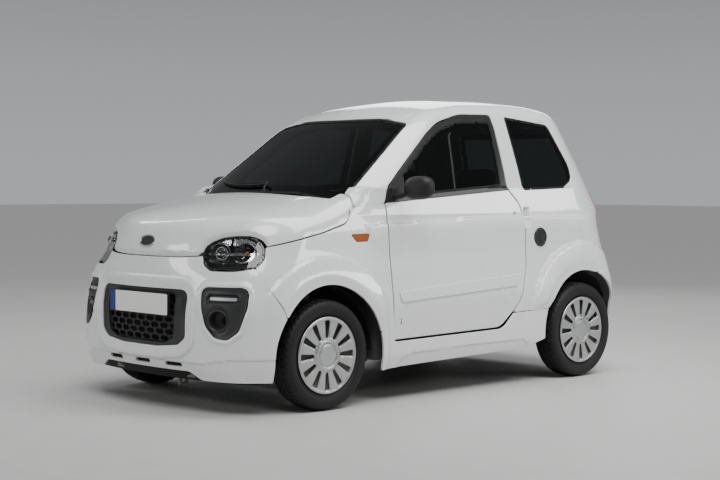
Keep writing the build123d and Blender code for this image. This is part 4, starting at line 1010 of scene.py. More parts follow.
def doorPieces(name, arrays, material, nodes=(), sharp=40):
    # a piece for the left door and its mirror image for the right one
    for side, turned in (("left", arrays), ("right", mirrored(arrays))):
        detailPiece(name + side, turned, material, "door_" + side, [node + side for node in nodes], sharp)


panels = dict(step=12, sideStep=9.2, frontStep=8.9, frameStep=11.4, plainStep=17, seam=6, frameDepth=38,
              doorDepth=8, roofDepth=20, gateDepth=22, scuttleSink=-12)
seam = panels["seam"]


def ahead(limit):
    return lambda p: p[:, 1] - limit


def behind(limit):
    return lambda p: limit - p[:, 1]


def above(limit):
    return lambda p: limit - p[:, 2]


def below(limit):
    return lambda p: p[:, 2] - limit


def aboveBelt(p):
    return 984 + (p[:, 1] + 465) * 0.0689 - p[:, 2]


def belowBelt(p):
    return -aboveBelt(p)


def scuttleBox(p):
    across, y, z = np.abs(p[:, 0]) - 600, np.abs(p[:, 1] + 725) - 275, np.abs(p[:, 2] - 985) - 135
    return np.maximum(np.maximum(across, y), z)


def bumperFoot(p):
    # the lower edge: raised in the middle with slots above it, low at the corners
    across = np.abs(p[:, 0])
    line = 196 - 38 * smoothStep(across, 330, 430)
    slots = np.hypot(np.maximum(np.abs((across + 120) % 240 - 120) - 52, 0), (p[:, 2] - 224)) - 9
    slots = np.where((across < 330) & (p[:, 1] < 0), slots, 50)
    return np.maximum(line - p[:, 2], -slots)


doorGap, bonnetGap = grown(sideView(doorSide), seam), grown(sideView(bonnetSide), seam)
screenHole = within(endView(screenFront), ahead(150))
tailgateHole = within(grown(endView(tailgateBack), seam), behind(1020))
lampHole = within(endView(tailLampBack), behind(1050))
bumperRegion = without(within(sideView(bumperSide), bumperFoot), arches[0], headlampShape, fogShape,
                       within(endView(grilleFront), ahead(-1200)), bonnetGap)
wingRegion = without(sideView(wingSide), arches[0], headlampShape, doorGap, bonnetGap,
                     sideView(indicatorSide))
bonnetRegion = without(within(sideView(bonnetSide), topView(bonnetPlan)), grown(headlampShape, seam))
sillRegion = without(sideView(sillSide), *arches, doorGap)
frameRegion = without(sideView(frameSide), arches[1], doorGap, sideView(quarterWindow), screenHole,
                      tailgateHole, within(topView(roofPlan), above(1300)), lampHole,
                      within(scuttleBox, below(1002)), bonnetGap, handleShape, grown(sideView(sillSide), 3.5))
roofRegion = without(topView(roofPlan), screenHole, tailgateHole)
scuttleRegion = without(scuttleBox, endView(screenFront), grown(topView(bonnetPlan), seam + 8))
doorRegion = within(grown(sideView(doorSide), -1.5), belowBelt)
doorFrameRegion = without(within(sideView(doorSide), grown(aboveBelt, -1.5)), grown(sideView(doorWindow), -2))
tailgateRegion = without(endView(tailgateBack), endView(rearGlassBack))
rearBumperRegion = without(within(sideView(rearBumperSide), above(158)), arches[1], tailgateHole)
tailLampRegion = without(lampHole, tailgateHole)

bumper = noseSkin(bumperRegion, (-810, 810), (140, 800), panels["frontStep"], bumperRelief)
detailPiece("bumperSkin", bumper, "paint", nodes=["front_bumper"])
wing = sideSkin(wingRegion, (-1300, -455), (140, 1010), panels["sideStep"], bodyRelief)
bothSides("wingSkins", wing, "paint", nodes=["front_wings"])
bonnet = panelArrays(bonnetRays, lowerForm, bonnetRegion, (-720, 720), (150, 1250), panels["frontStep"],
                     bonnetRelief)
detailPiece("bonnetSkin", bonnet, "paint", "bonnet", ["bonnet"])
sill = panelArrays(sideRays, lowerForm, sillRegion, (-905, 905), (150, 410), panels["sideStep"], sillRelief)
bothSides("sillSkins", sill, "paint", nodes=["sills"])
sideFrame = panelArrays(cabinRays, bodyForm, frameRegion, (-1250, 2100), (-560, 1270), panels["frameStep"],
                        bodyRelief, thickness=panels["frameDepth"], backEdge=6)
bothSides("frameSkins", sideFrame, "paint", nodes=["side_frames"])
roof = panelArrays(roofRays, upperForm, roofRegion, (-440, 440), (-190, 1130), panels["plainStep"],
                   thickness=panels["roofDepth"])
detailPiece("roofSkin", roof, "paint", nodes=["roof_panel"])
scuttle = panelArrays(bonnetRays, bodyForm, scuttleRegion, (-615, 615), (1000, 1330), panels["step"],
                      offset=panels["scuttleSink"], thickness=8)
detailPiece("scuttleCover", scuttle, "blackPlastic", nodes=["scuttle"])
door = sideSkin(doorRegion, (-475, 580), (295, 1070), panels["sideStep"], doorRelief,
                thickness=panels["doorDepth"])
doorPieces("doorSkin_", door, "paint", ["door_"])
tailgate = tailSkin(tailgateRegion, (-560, 560), (630, 1440), panels["plainStep"],
                    thickness=panels["gateDepth"], backEdge=5)
detailPiece("tailgateSkin", tailgate, "paint", "tailgate", ["tailgate"])
rearBumper = panelArrays(rearRays, lowerForm, rearBumperRegion, (-840, 840), (140, 660), panels["plainStep"],
                         bodyRelief)
detailPiece("rearBumperSkin", rearBumper, "paint", nodes=["rear_bumper"])
print("panels made")

wheelSizes = dict(centre=660, cover=185.5, slots=12, slotInner=84, slotOuter=166, slotHalf=7.2,
                  slotSpread=0.095, slotRound=3.5, chamfer=4, chamferWide=6, step=5.5, blocks=50, turns=150)
coverProfile = [(0, 69), (40, 69), (48, 68.5), (53, 64), (57, 64), (61, 70), (69, 71), (73, 68.5), (80, 65),
                (90, 63.8), (120, 64.8), (150, 66), (160, 66), (169, 65.3), (174, 67.5), (180, 67.5),
                (184, 64.5), (188, 60), (300, 60)]


def slotDistance(x, y):
    radius, pitch = np.hypot(x, y), 2 * pi / wheelSizes["slots"]
    turn = np.abs((np.arctan2(y, x) + pitch / 2) % pitch - pitch / 2)
    inner, outer = wheelSizes["slotInner"], wheelSizes["slotOuter"]
    wide = wheelSizes["slotHalf"] + (radius - inner) * wheelSizes["slotSpread"]
    return cornerGap(radius * turn - wide, np.abs(radius - (inner + outer) / 2) - (outer - inner) / 2,
                     wheelSizes["slotRound"])


profileKeys = np.arange(0, 301, 1.0)
profileRows = smoothRows([k for k, _ in coverProfile], [(v,) for _, v in coverProfile], profileKeys)[:, 0]


def coverHeight(x, y):
    sunk = 1 - smoothStep(slotDistance(x, y), 0, wheelSizes["chamferWide"])
    return np.interp(np.hypot(x, y), profileKeys, profileRows) - wheelSizes["chamfer"] * sunk


def coverRegion(p):
    return np.maximum(np.hypot(p[:, 0], p[:, 1]) - wheelSizes["cover"], -slotDistance(p[:, 0], p[:, 1]))


treadHalf = [(0, 265), (3.4, 265), (4.6, 264.95), (12, 264.9), (21, 264.7), (22.4, 264.65), (23.6, 264.6),
             (30.4, 264.2), (31.6, 264.1), (36, 263.6), (44, 262.4), (52, 260.3), (57, 258.2)]
wallHalf = [(61.5, 255.4), (65.5, 251.4), (68.6, 246.5), (70.3, 242), (71.4, 239), (71.9, 237), (71.6, 236),
            (72.2, 229), (71.8, 220), (70, 212), (67.2, 205), (65.4, 202), (65.6, 200.5), (64.4, 198.5),
            (61.5, 196.5), (58, 190), (55, 182), (50, 174)]


def tyreArrays():
    # the tyre's section turned about its axle, with grooves, shoulder blocks and fine sidewall ribs
    half = treadHalf + wallHalf
    section = np.array([(-x, r) for x, r in half[:0:-1]] + half)
    turns = wheelSizes["turns"]
    index, pitch = np.arange(turns), turns // wheelSizes["blocks"]
    angle = index * 2 * pi / turns
    radius, sideways = (np.repeat(section[:, k:k + 1], turns, 1) for k in (1, 0))
    across = np.abs(section[:, 0])
    radius[(across <= 3.5) | ((across >= 23.5) & (across <= 30.5))] -= 6
    for i, (x, r) in enumerate(section):
        a = abs(x)
        if 31 < a < 67 and r > 245:
            deep = 4.6 * (1 - smoothStep(a, 50, 68))
            radius[i] -= deep * ((index + (2 if x < 0 else 0) + int(a > 44)) % pitch == 0)
        elif 4 < a < 22.5:
            radius[i] -= 2.4 * ((index + (3 if x > 0 else 0) + int(a > 11)) % pitch == 0)
    ribbed = (section[:, 1] > 236.5) & (section[:, 1] < 250)
    sideways[ribbed] -= np.sign(sideways[ribbed]) * 0.7 * (index % 3 == 0)
    p = np.stack([radius * np.cos(angle), radius * np.sin(angle), sideways], 2).reshape(-1, 3)
    return p, None, quadFaces(len(section), turns, True)


wheelAxes = [(0, 1, 0), (0, 0, 1), (1, 0, 0)]
rimLoop = [(160, -57), (166, -61), (181, -61), (183, -58), (180, -56.5), (172.5, -50), (172.5, 50), (180, 56),
           (183, 58), (177, 60), (164, 57), (163, 46), (152, 44), (132, 33), (104, 29), (84, 36), (62, 42),
           (0.1, 42), (0.1, 36), (60, 36), (82, 30), (102, 23), (134, 27), (154, 38), (160, 34)]
wheelCover = facePlate(coverHeight, coverRegion, (190, 190), wheelSizes["step"], 3, 1.2)
wheelRim, wheelTyre = latheArrays(rimLoop, 96), tyreArrays()
for end, axle in (("front", frontAxle), ("rear", rearAxle)):
    spot = (wheelSizes["centre"], axle, wheelHeight)
    cover, rim, tyre = (placed(arrays, wheelAxes, spot) for arrays in (wheelCover, wheelRim, wheelTyre))
    for side, turned in (("left", lambda a: a), ("right", mirrored)):
        place = f"{end}_{side}"
        body = "wheel_" + place
        detailPiece("wheelCover_" + place, turned(cover), "silver", body, [body])
        # the rim is chassis black, darker than bare steel, and so also serves as painted shade seen through
        # the cover's slots
        detailPiece("wheelRim_" + place, turned(rim), "frameBlack", body)
        detailPiece("wheelTyre_" + place, turned(tyre), "tyre", body, ["tyre_" + place], sharp=32)
print("wheels made")

lampCos, lampSin = cos(radians(lampTurn)), sin(radians(lampTurn))
lampAxes = [(lampCos, lampSin, 0), (0, 0, 1), (lampSin, -lampCos, 0)]
lampRange = ((290, 690), (665, 850))
lampSizes = dict(bezel=11, wall=20, floor=52, inner=(-66, -6), outer=(64, -4), cup=47, cupDeep=30, sink=14,
                 browLow=24, browHigh=64)


def cornerPlace(p, place):
    # place across and up on a front corner's upright plane
    return (np.abs(p[:, 0]) - place[0]) * lampCos + (p[:, 1] + cornerY) * lampSin, p[:, 2] - place[1]


def cornerSpot(place, u, v, depth):
    # a spot on a front corner's plane at a depth under the body's surface
    spot = np.array([place[0], -cornerY, place[1]]) + np.array(lampAxes[0]) * u + np.array([0, 0, v])
    way = np.array(lampAxes[2])
    start = spot - way * 250  # well inside the body
    return start + way * (solve(lowerForm, start[None], way[None], 0, 500)[0] - depth)


def lampBowl(p):
    # a dish that falls from the bezel to the lamp's floor
    start = lampSizes["bezel"]
    return -4 - lampSizes["floor"] * smoothStep(-headlampShape(p), start, start + lampSizes["wall"])


def lampBrow(p):
    # a ribbed bright strip along the top, split between the two units
    u, v = cornerPlace(p, headlampPlace)
    low = np.maximum(lampSizes["browLow"] + 8 * np.cos(u / 130 * pi) - v, v - lampSizes["browHigh"])
    return np.maximum(np.maximum(low, 6 - np.abs(u + 4)), headlampShape(p) + lampSizes["bezel"] + 5)


def browHeight(p):
    u, v = cornerPlace(p, headlampPlace)
    return -20 + 2.2 * np.abs((u / 11 + v / 30) % 1 - 0.5) * 2 + (v - 50) * 0.35


def lampBand(p):
    # a bright band that crosses the lamp behind both units
    u, v = cornerPlace(p, headlampPlace)
    return np.max([np.abs(v + 6) - 5, np.abs(u) - 132, headlampShape(p) + lampSizes["bezel"] + 8], axis=0)


def lampSickle(p):
    # a bright sickle under the outer unit
    u, v = cornerPlace(p, headlampPlace)
    sickle = np.abs(np.hypot(u - 58, (v + 2) * 1.25) - 52) - 3 - 4 * smoothStep(u, 30, 100)
    return np.max([sickle, v + 12, 20 - u, headlampShape(p) + lampSizes["bezel"] + 6], axis=0)


def headlampPart(name, region, step, height, offset, thickness, edge, material, nodes=()):
    bothSides("headlamp" + name, noseSkin(region, *lampRange, step, height, offset, thickness, edge),
              material, nodes=nodes)


bezel = lampSizes["bezel"]
headlampPart("Bezels", without(grown(headlampShape, -1.5), grown(headlampShape, -bezel)), 6, None, -1.5, 46,
             2, "blackGloss", ["headlamps"])
headlampPart("Bowls", grown(headlampShape, 2 - bezel), 6, lampBowl, 0, 2, 0.6, "blackGloss")
headlampPart("Brows", lampBrow, 3, browHeight, 0, 2, 0.5, "mirror")
headlampPart("Sickles", lampSickle, 3, level(-17), 0, 3, 1.2, "mirror")
headlampPart("Bands", lampBand, 4, level(-26), 0, 2, 1, "mirror")
headlampPart("Lenses", grown(headlampShape, 1 - bezel), 7, None, -2, 2.4, 1, "lens")


def discGap(radius):
    return lambda p: np.hypot(p[:, 0], p[:, 1]) - radius


def lampUnit(label, centre, ring, facets, cupFinish, domeFinish, collarFinish):
    # a cup with its rim, and a dome in a collar at its middle
    def part(name, arrays, sink, material):
        spot = cornerSpot(headlampPlace, *centre, lampSizes["sink"] + sink)
        bothSides(label + name, placed(arrays, lampAxes, spot), material)

    def cupHeight(x, y):
        return (np.hypot(x, y) / cup) ** 2 * deep - deep + facets * np.cos(16 * np.arctan2(y, x))

    cup, deep = lampSizes["cup"], lampSizes["cupDeep"]
    part("LampCups", facePlate(cupHeight, discGap(cup), (cup + 3, cup + 3), 3, 2, 0.8), 4, cupFinish)
    rim = [(cup - 2, 0), (cup, 3.4), (cup + 3, 4), (cup + 4.5, 2), (cup + 4.5, -8), (cup - 1, -8)]
    part("LampRims", latheArrays(rim, 72), 4, "smoke")
    dome = [(0.1, 9), (ring * 0.4, 8.2), (ring * 0.75, 5), (ring, 0), (ring, -4), (0.1, -4)]
    part("LampDomes", latheArrays(dome, 48), 14, domeFinish)
    collar = [(ring, -2), (ring + 1, 2.4), (ring + 4, 2.4), (ring + 6, -12), (ring + 2, -14)]
    part("LampCollars", latheArrays(collar, 48), 16, collarFinish)


lampUnit("inner", lampSizes["inner"], 27, 0.0, "blackGloss", "lens", "mirror")
lampUnit("outer", lampSizes["outer"], 11, 0.9, "smoke", "amber", "blackGloss")
print("headlamps made")

fogRange = ((390, 640), (350, 602))
fogSizes = dict(pill=(-2, 74, 86, 19), bar=(0, 74, 74, 8), hole=(-22, -26), holeRadius=47, recess=11)


def pill(place, centreU, centreV, halfWide, radius):
    def distance(p):
        u, v = cornerPlace(p, place)
        return np.hypot(np.maximum(np.abs(u - centreU) - (halfWide - radius), 0), v - centreV) - radius
    return distance


fogPill, fogBar = pill(fogPlace, *fogSizes["pill"]), pill(fogPlace, *fogSizes["bar"])


def fogHole(p):
    u, v = cornerPlace(p, fogPlace)
    return np.hypot(u - fogSizes["hole"][0], v - fogSizes["hole"][1]) - fogSizes["holeRadius"]


def fogRelief(p):
    sunk = fogSizes["recess"] * (1 - smoothStep(fogPill(p), -5, 1)) + 5 * smoothStep(-fogShape(p), 2, 16)
    return -sunk - 7 * smoothStep(-fogHole(p), -26, -2) + 4 * (1 - smoothStep(np.abs(fogPill(p) - 3), 1, 5))


fogShield = noseSkin(without(grown(fogShape, -1.2), fogHole), *fogRange, 5.6, fogRelief, -2, 5, 2)
bothSides("fogShields", fogShield, "greyPlastic", nodes=["fog_bezels"])
bothSides("fogBars", noseSkin(fogBar, *fogRange, 4, level(-9), 0, 6, 2.5), "slotGrey")
hole = fogSizes["holeRadius"]
fogCup = [(hole - 5, 2), (hole - 3, 6), (hole + 1, 8), (hole + 5, 6), (hole + 7, 1), (hole + 7, -14),
          (hole + 2, -14), (hole - 6, -46), (0.1, -50), (0.1, -46), (hole - 12, -42), (hole - 8, -8)]
bothSides("fogCups", placed(latheArrays(fogCup, 72), lampAxes, cornerSpot(fogPlace, *fogSizes["hole"], 8)),
          "greyPlastic")
print("fog bezels made")

grilleSizes = dict(cellWide=70, cellHigh=31, bar=6.2, step=4.6)
grilleShape, grilleInner = endView(grilleFront), endView(roundedLoop(
    [(-300, 556), (262, 556), (258, 356), (196, 326), (-200, 326), (-296, 356)], [26, 26, 50, 60, 60, 50]))
grilleRange = ((-370, 370), (295, 592))


def honeycomb(p):
    # less than 0 on the bars between flattened hexagons
    wide, high = grilleSizes["cellWide"], grilleSizes["cellHigh"]
    best = np.full(len(p), 1e9)
    for shift in (0, 0.5):
        x = np.abs((p[:, 0] / wide + shift) % 1 - 0.5) * wide
        z = np.abs((p[:, 2] / (2 * high) + shift) % 1 - 0.5) * 2 * high
        best = np.minimum(best, np.maximum(z - high / 2, (x - wide / 2) * 0.62 + z * 0.62))
    return -(best + grilleSizes["bar"] / 2)


def grilleRelief(p):
    return -9 * smoothStep(-grilleShape(p), 0, 40)


def backRibs(p):
    return -58 + 3 * np.sin(p[:, 2] * 0.9)


def badgeShape(p):
    return (np.hypot(p[:, 0] / 60, (p[:, 2] - 801) / 26) - 1) * 34


def badgeDome(p):
    return 5 - 5 * smoothStep(-badgeShape(p), -40, 30)


grilleRing = without(grown(grilleShape, -1.5), grilleInner)
detailPiece("grilleFrame", noseSkin(grilleRing, *grilleRange, 6, grilleRelief, -1, 26, 3.5), "greyPlastic",
            nodes=["grille"])
grilleNet = noseSkin(within(honeycomb, grown(grilleInner, 5)), *grilleRange, grilleSizes["step"], None, -20,
                     9, 1.2)
detailPiece("grilleMesh", grilleNet, "blackPlastic")
detailPiece("grilleBack", noseSkin(grown(grilleShape, 8), *grilleRange, 18, backRibs, 0, 3, 1), "rubber")
detailPiece("bonnetBadge", noseSkin(badgeShape, (-66, 66), (770, 832), 3, badgeDome, 0, 6, 1.5), "badge",
            "bonnet", ["bonnet_badge"])
badgeRing = without(grown(badgeShape, 3), grown(badgeShape, -4))
detailPiece("badgeRim", noseSkin(badgeRing, (-70, 70), (768, 834), 2.5, None, 6.5, 7, 2), "silver", "bonnet")
print("grille made")

plates = dict(blue=45, front=(235, 50), frontSpot=(0, -1489.6, 506), rear=(260, 55),
              rearSpot=(0, 1483.4, 730))
upright, forward = [(1, 0, 0), (0, 1, 0), (0, 0, 1)], [(1, 0, 0), (0, 0, 1), (0, -1, 0)]
rearward = [(-1, 0, 0), (0, 0, 1), (0, 1, 0)]


def plateFaces(name, axes, body, node):
    # a blank number plate with a blue band at one end
    (halfWide, halfHigh), blue = plates[name], plates["blue"] / 2
    for label, half, middle, material in (("Plate", halfWide - blue, blue, "plate"),
                                          ("PlateBand", blue, blue - halfWide, "plateBlue")):
        face = facePlate(flat(0), roundedBox(half, halfHigh, 5, (middle, 0)), (halfWide + 5, halfHigh + 5), 9,
                         2, 0.8)
        detailPiece(name + label, placed(face, axes, plates[name + "Spot"]), material, body,
                    [node] if label == "Plate" else ())


plateFaces("front", forward, "car_body", "front_plate")
plateFaces("rear", rearward, "tailgate", "rear_plate")
halfWide, halfHigh = plates["front"]
plateRim = without(roundedBox(halfWide + 4, halfHigh + 4, 7), roundedBox(halfWide - 2, halfHigh - 2, 4))
detailPiece("plateHolder", placed(facePlate(flat(-1.6), plateRim, (245, 60), 5, 14, 1.2), forward,
                                  plates["frontSpot"]), "blackPlastic")
halfWide, halfHigh = plates["rear"]
rearHolder = facePlate(flat(-2), roundedBox(halfWide - 1, halfHigh - 1, 6), (265, 60), 12, 26, 1.2)
detailPiece("rearPlateHolder", placed(rearHolder, rearward, plates["rearSpot"]), "blackPlastic", "tailgate")
print("plates made")

glazing = dict(inset=3, thick=5, seal=13, step=20, sealStep=11)
backGlass = within(endView(rearGlassBack), behind(1020))
glassSets = [
    ("windscreen", "windscreen", screenRays, screenHole, (-600, 600), (975, 1430), 46),
    ("door", "door_glass_", sideRays, sideView(doorWindow), (-445, 440), (995, 1440), 15),
    ("quarterWindow", "quarter_windows", sideRays, sideView(quarterWindow), (555, 1050), (1035, 1460), 16),
    ("rearWindow", "tailgate_glass", tailRays, backGlass, (-480, 480), (1020, 1395), 30),
]
for name, node, rays, shape, uRange, vRange, border in glassSets:
    glassSkin = partial(panelArrays, rays, upperForm)
    pane = glassSkin(grown(shape, -1), uRange, vRange, glazing["step"], None, -glazing["inset"],
                     glazing["thick"], 1)
    seal = glassSkin(without(grown(shape, -0.5), grown(shape, -glazing["seal"])), uRange, vRange,
                     glazing["sealStep"], lambda p: 1.4 * smoothStep(-shape(p), 1, 7), -1.5, 9, 1)
    band = glassSkin(without(grown(shape, -3), grown(shape, -border)), uRange, vRange, glazing["sealStep"],
                     None, -8.6, 1, 0.3)
    if name == "door":
        doorPieces("doorGlass_", pane, "glass", [node])
        doorPieces("doorSeal_", seal, "rubber")
        doorPieces("doorGlassBand_", band, "blackGloss")
        continue
    if name == "quarterWindow":
        pane, seal, band = (joined(arrays, mirrored(arrays)) for arrays in (pane, seal, band))
    body = "tailgate" if name == "rearWindow" else "car_body"
    detailPiece(name + "Glass", pane, "glass", body, [node])
    detailPiece(name + "Seal", seal, "rubber", body)
    detailPiece(name + "Band", band, "blackGloss", body)
print("glass made")

trim = dict(fuel=(692, 792), lock=(494, 927), tailRange=((470, 900), (790, 1060)), tailSplit=886)
(fuelY, fuelZ), (lockY, lockZ) = trim["fuel"], trim["lock"]
fuelWindow = ((fuelY - 60, fuelY + 60), (fuelZ - 60, fuelZ + 60))
lockWindow = ((lockY - 16, lockY + 16), (lockZ - 16, lockZ + 16))


def sideDisc(y, z, radius=0):
    return lambda p: np.hypot(p[:, 1] - y, p[:, 2] - z) - radius


def proud(amount):
    return lambda p: bodyRelief(p) + amount


fuelReach = sideDisc(fuelY, fuelZ)


def fuelCapRelief(p):
    # a finger bar across a shallow dish with a ribbed edge
    reach = fuelReach(p)
    bar = 5 * (1 - smoothStep(np.abs(p[:, 1] - fuelY), 5, 9)) * (1 - smoothStep(reach, 26, 32))
    return bodyRelief(p) + 2 + bar + 1.2 * np.cos(reach * 0.9) * smoothStep(reach, 33, 36)


def fuelRing(p):
    return np.abs(fuelReach(p) - 47.5) - 5


def lockSlot(p):
    return np.hypot((p[:, 1] - lockY) * 2.2, p[:, 2] - lockZ) - 7


detailPiece("fuelCap", sideSkin(sideDisc(fuelY, fuelZ, 43), *fuelWindow, 4, fuelCapRelief, 0, 8, 2),
            "blackPlastic", nodes=["fuel_cap"])
detailPiece("fuelCapRing", sideSkin(fuelRing, *fuelWindow, 3, proud(4), 0, 8, 2.2), "blackGloss")
doorPieces("doorLock_", sideSkin(sideDisc(lockY, lockZ, 10), *lockWindow, 2, proud(1.6), 0, 4, 1), "silver")
doorPieces("doorLockSlot_", sideSkin(lockSlot, *lockWindow, 1.5, proud(2.4), 0, 2, 0.5), "blackGloss")


def scoopHeight(p):
    y, z = p[:, 1], p[:, 2]
    deep = (1 - smoothStep(y, 582, 626)) * smoothStep(z, 842, 895) * (1 - smoothStep(z, 948, 956))
    return bodyRelief(p) - 1 - 20 * deep


def indicatorRibs(p):
    return bodyRelief(p) + 1.5 + 0.5 * np.cos(p[:, 1] * 1.1)


def cowlRegion(p):
    box = np.max([538 - np.abs(p[:, 0]), np.abs(p[:, 0]) - 702, -772 - p[:, 1], p[:, 1] + 668, 880 - p[:, 2],
                  p[:, 2] - 1062], axis=0)
    return np.maximum(box, -grown(bonnetRegion, 5)(p))


def lampRibs(p):
    return 1.5 + 0.7 * np.abs((p[:, 2] / 12) % 1 - 0.5) * 2


def gripRegion(p):
    return np.maximum(np.abs(p[:, 0]) - 150, np.abs(p[:, 2] - 815) - 16)


def gripRelief(p):
    return 9 - 7 * smoothStep(-p[:, 2], -818, -802)


scoop = sideSkin(grown(handleShape, 1.5), (562, 636), (830, 966), 3.5, scoopHeight, 0, 5, 0.6)
bothSides("handleScoops", scoop, "paint")
indicator = sideSkin(grown(sideView(indicatorSide), -1.5), (-724, -588), (785, 845), 4, indicatorRibs, 0, 12,
                     2.4)
bothSides("indicators", indicator, "amber", nodes=["side_indicators"])
bothSides("cowlCorners", panelArrays(bonnetRays, bodyForm, cowlRegion, (530, 712), (1000, 1400), 7, None, -10,
                                     5, 1), "paint")
for label, share, material in (("Red", above(trim["tailSplit"] + 2), "red"),
                               ("Clear", below(trim["tailSplit"] - 2), "slotGrey")):
    unit = grown(within(tailLampRegion, share), -2)
    bothSides("tailLamp" + label, rearSkin(unit, *trim["tailRange"], 4, lampRibs, 0, 18, 3), material,
              nodes=["tail_lamps"] if label == "Red" else ())
bothSides("tailLampBase", rearSkin(tailLampRegion, *trim["tailRange"], 8, None, -8, 26, 1), "blackGloss")
detailPiece("tailgateGrip", tailSkin(gripRegion, (-170, 170), (790, 840), 5, gripRelief, 0, 12, 3),
            "blackPlastic", "tailgate")

mirrorSizes = dict(centre=(776, -345, 1060), half=(86, 50, 59), glass=(62, 40), turns=56, rows=36)


def mirrorShell():
    # a rounded shell that is flat at the back
    turns, rows = mirrorSizes["turns"], mirrorSizes["rows"]
    (cx, cy, cz), (hx, hy, hz) = mirrorSizes["centre"], mirrorSizes["half"]
    angle = np.linspace(0, 2 * pi, turns, endpoint=False)
    c, s = np.cos(angle), np.sin(angle)
    p = []
    for t in np.linspace(-1, 1, rows + 1):
        t = np.sign(t) * (1 - (1 - abs(t)) ** 1.8)
        size = (1 - min(abs(t), 0.9999) ** 2.6) ** (1 / 2.6)
        y = hy * size * np.sign(c) * np.abs(c) ** 0.82
        z = hz * (size ** 0.9) * np.sign(s) * np.abs(s) ** 0.82
        y = np.where(y > 0, np.minimum(y, 34), y * 1.04)
        p.append(np.stack([np.full(turns, cx + hx * t), cy + y, cz + z + 3 * t], 1))
    faces = [quadFaces(rows + 1, turns, False), endFans(rows + 1, turns)]
    return np.concatenate(p), None, np.concatenate(faces)


armLine = curvePoints([(640, -396, 1014), (690, -386, 1020), (722, -368, 1036), (752, -352, 1052)], 14)
armRadii = [19, 19, 18, 17, 16, 15.5, 15, 15, 15, 15, 16, 17, 18, 18]
mirrorFace = facePlate(lambda x, y: 1.5 - (x * x + y * y) / 4200, roundedBox(*mirrorSizes["glass"], 34),
                       (70, 46), 5, 4, 1.2)
sailSide = roundedLoop([(-434, 1004), (-318, 1012), (-312, 1132), (-400, 1052)], [6, 10, 10, 60])
sail = panelArrays(sideRays, upperForm, sideView(sailSide), (-440, -305), (998, 1140), 5, level(3), 0, 8, 2)
doorPieces("mirrorShell_", mirrorShell(), "blackPlastic", ["mirror_"], 50)
doorPieces("mirrorArm_", tubeArrays(armLine, armRadii, 20, 0.9), "blackPlastic")
doorPieces("mirrorGlass_", placed(mirrorFace, rearward, (778, -312.5, 1060)), "mirror")
doorPieces("mirrorSail_", sail, "blackPlastic")


def screenSpot(x, z, out):
    # a spot at a distance in front of the windscreen
    start, way = np.array([[x, 500.0, z]]), np.array([[0, -1.0, 0]])
    return start[0] + way[0] * solve(upperForm, start, way, 0, 1700)[0] + np.array([0, -0.82, 0.57]) * out


bladePoints = [screenSpot(x, 1066 + 0.00022 * (x + 150) ** 2 - (x + 150) * 0.02, 9)
               for x in np.linspace(70, -440, 18)]
armPoints = curvePoints([(120, -802, 1052), (112, -790, 1066), screenSpot(60, 1078, 17),
                         screenSpot(-60, 1074, 17), screenSpot(-170, 1070, 14)], 18)
wiperParts = [
    tubeArrays(bladePoints, [2.5] + [5.5] * 16 + [2.5], 10, 0.8),
    tubeArrays(armPoints, 5, 10, 0.6),
    tubeArrays([(120, -802, 1000), (120, -802, 1046), (120, -802, 1052)], [11, 11, 8], 20, 1, (0, 1, 0)),
    tubeArrays([p + np.array([0, 4.5, -4]) for p in bladePoints], [1.2] + [2.6] * 16 + [1.2], 8, 1.6)]
detailPiece("wiperArm", joined(*wiperParts), "blackPlastic", nodes=["wiper"])
shadowRegion = without(within(sideView(bumperSide), above(140)), arches[0])
detailPiece("bumperShadow", noseSkin(shadowRegion, (-690, 690), (140, 700), 18, None, -52, 3, 1), "rubber")
doorPieces("doorFrame_", sideSkin(doorFrameRegion, (-475, 580), (975, 1460), 9, None, -1, 9, 2), "satinBlack")
rubStrip = sideSkin(sideView(rubPanel), (-430, 515), (485, 605), 8, lambda p: doorRelief(p) + relief["rub"],
                    0, 9, 3.2)
doorPieces("rubStrip_", rubStrip, "paint")
print("trim made")

cabin = dict(seat=300, cushionTop=452, backLean=13.74, backFoot=(388, 352), wheel=(300, -175, 905), tilt=28,
             rim=178, rimRadius=14.5, dashWide=586, rimTurns=96, rimSides=18)
cushionSeams, backSeams = (-120, -50, 20, 90, 160), (-230, -165, -100, -35, 30, 95, 160, 225)


def crowned(x, y, halfX, halfY):
    return np.cos(np.clip(x / halfX, -1, 1) * pi / 2) * np.cos(np.clip(y / halfY, -1, 1) * pi / 2)


def stitch(value, at, deep, wide):
    # a seam pulled into the padding
    return -deep * np.exp(-((value - at) / wide) ** 2)


def cushionHeight(x, y):
    across = np.abs(x)
    rise = 22 * smoothStep(across, 118, 168) + 7 * crowned(x, y, 125, 230)
    rise += stitch(across, 122, 5, 6) + 9 * smoothStep(-y, 120, 215)
    rise += sum(stitch(y, at, 3.4, 5) for at in cushionSeams) * (1 - smoothStep(across, 112, 120))
    wrinkle = 1.2 * np.sin(x * 0.045 + 2.1 * np.sin(y * 0.021)) * np.sin(y * 0.05 + 1.3)
    return rise + wrinkle * (1 - smoothStep(across, 90, 118))


def backHeight(x, y):
    across = np.abs(x)
    rise = 26 * smoothStep(across, 112, 165) * (1 - 0.6 * smoothStep(y, 180, 300))
    rise += 9 * np.exp(-((y + 130) / 120) ** 2)
    rise += stitch(across + 0.06 * y, 118, 5, 6)
    rise += sum(stitch(y, at, 3.4, 5) for at in backSeams) * (1 - smoothStep(across + 0.06 * y, 106, 116))
    wrinkle = 1.1 * np.sin(y * 0.04 + 1.7 * np.sin(x * 0.03)) * np.sin(x * 0.05)
    return rise + wrinkle * (1 - smoothStep(across, 90, 118))


def restHeight(x, y):
    return 10 * crowned(x, y, 130, 75) + stitch(y, -38, 2.5, 4)


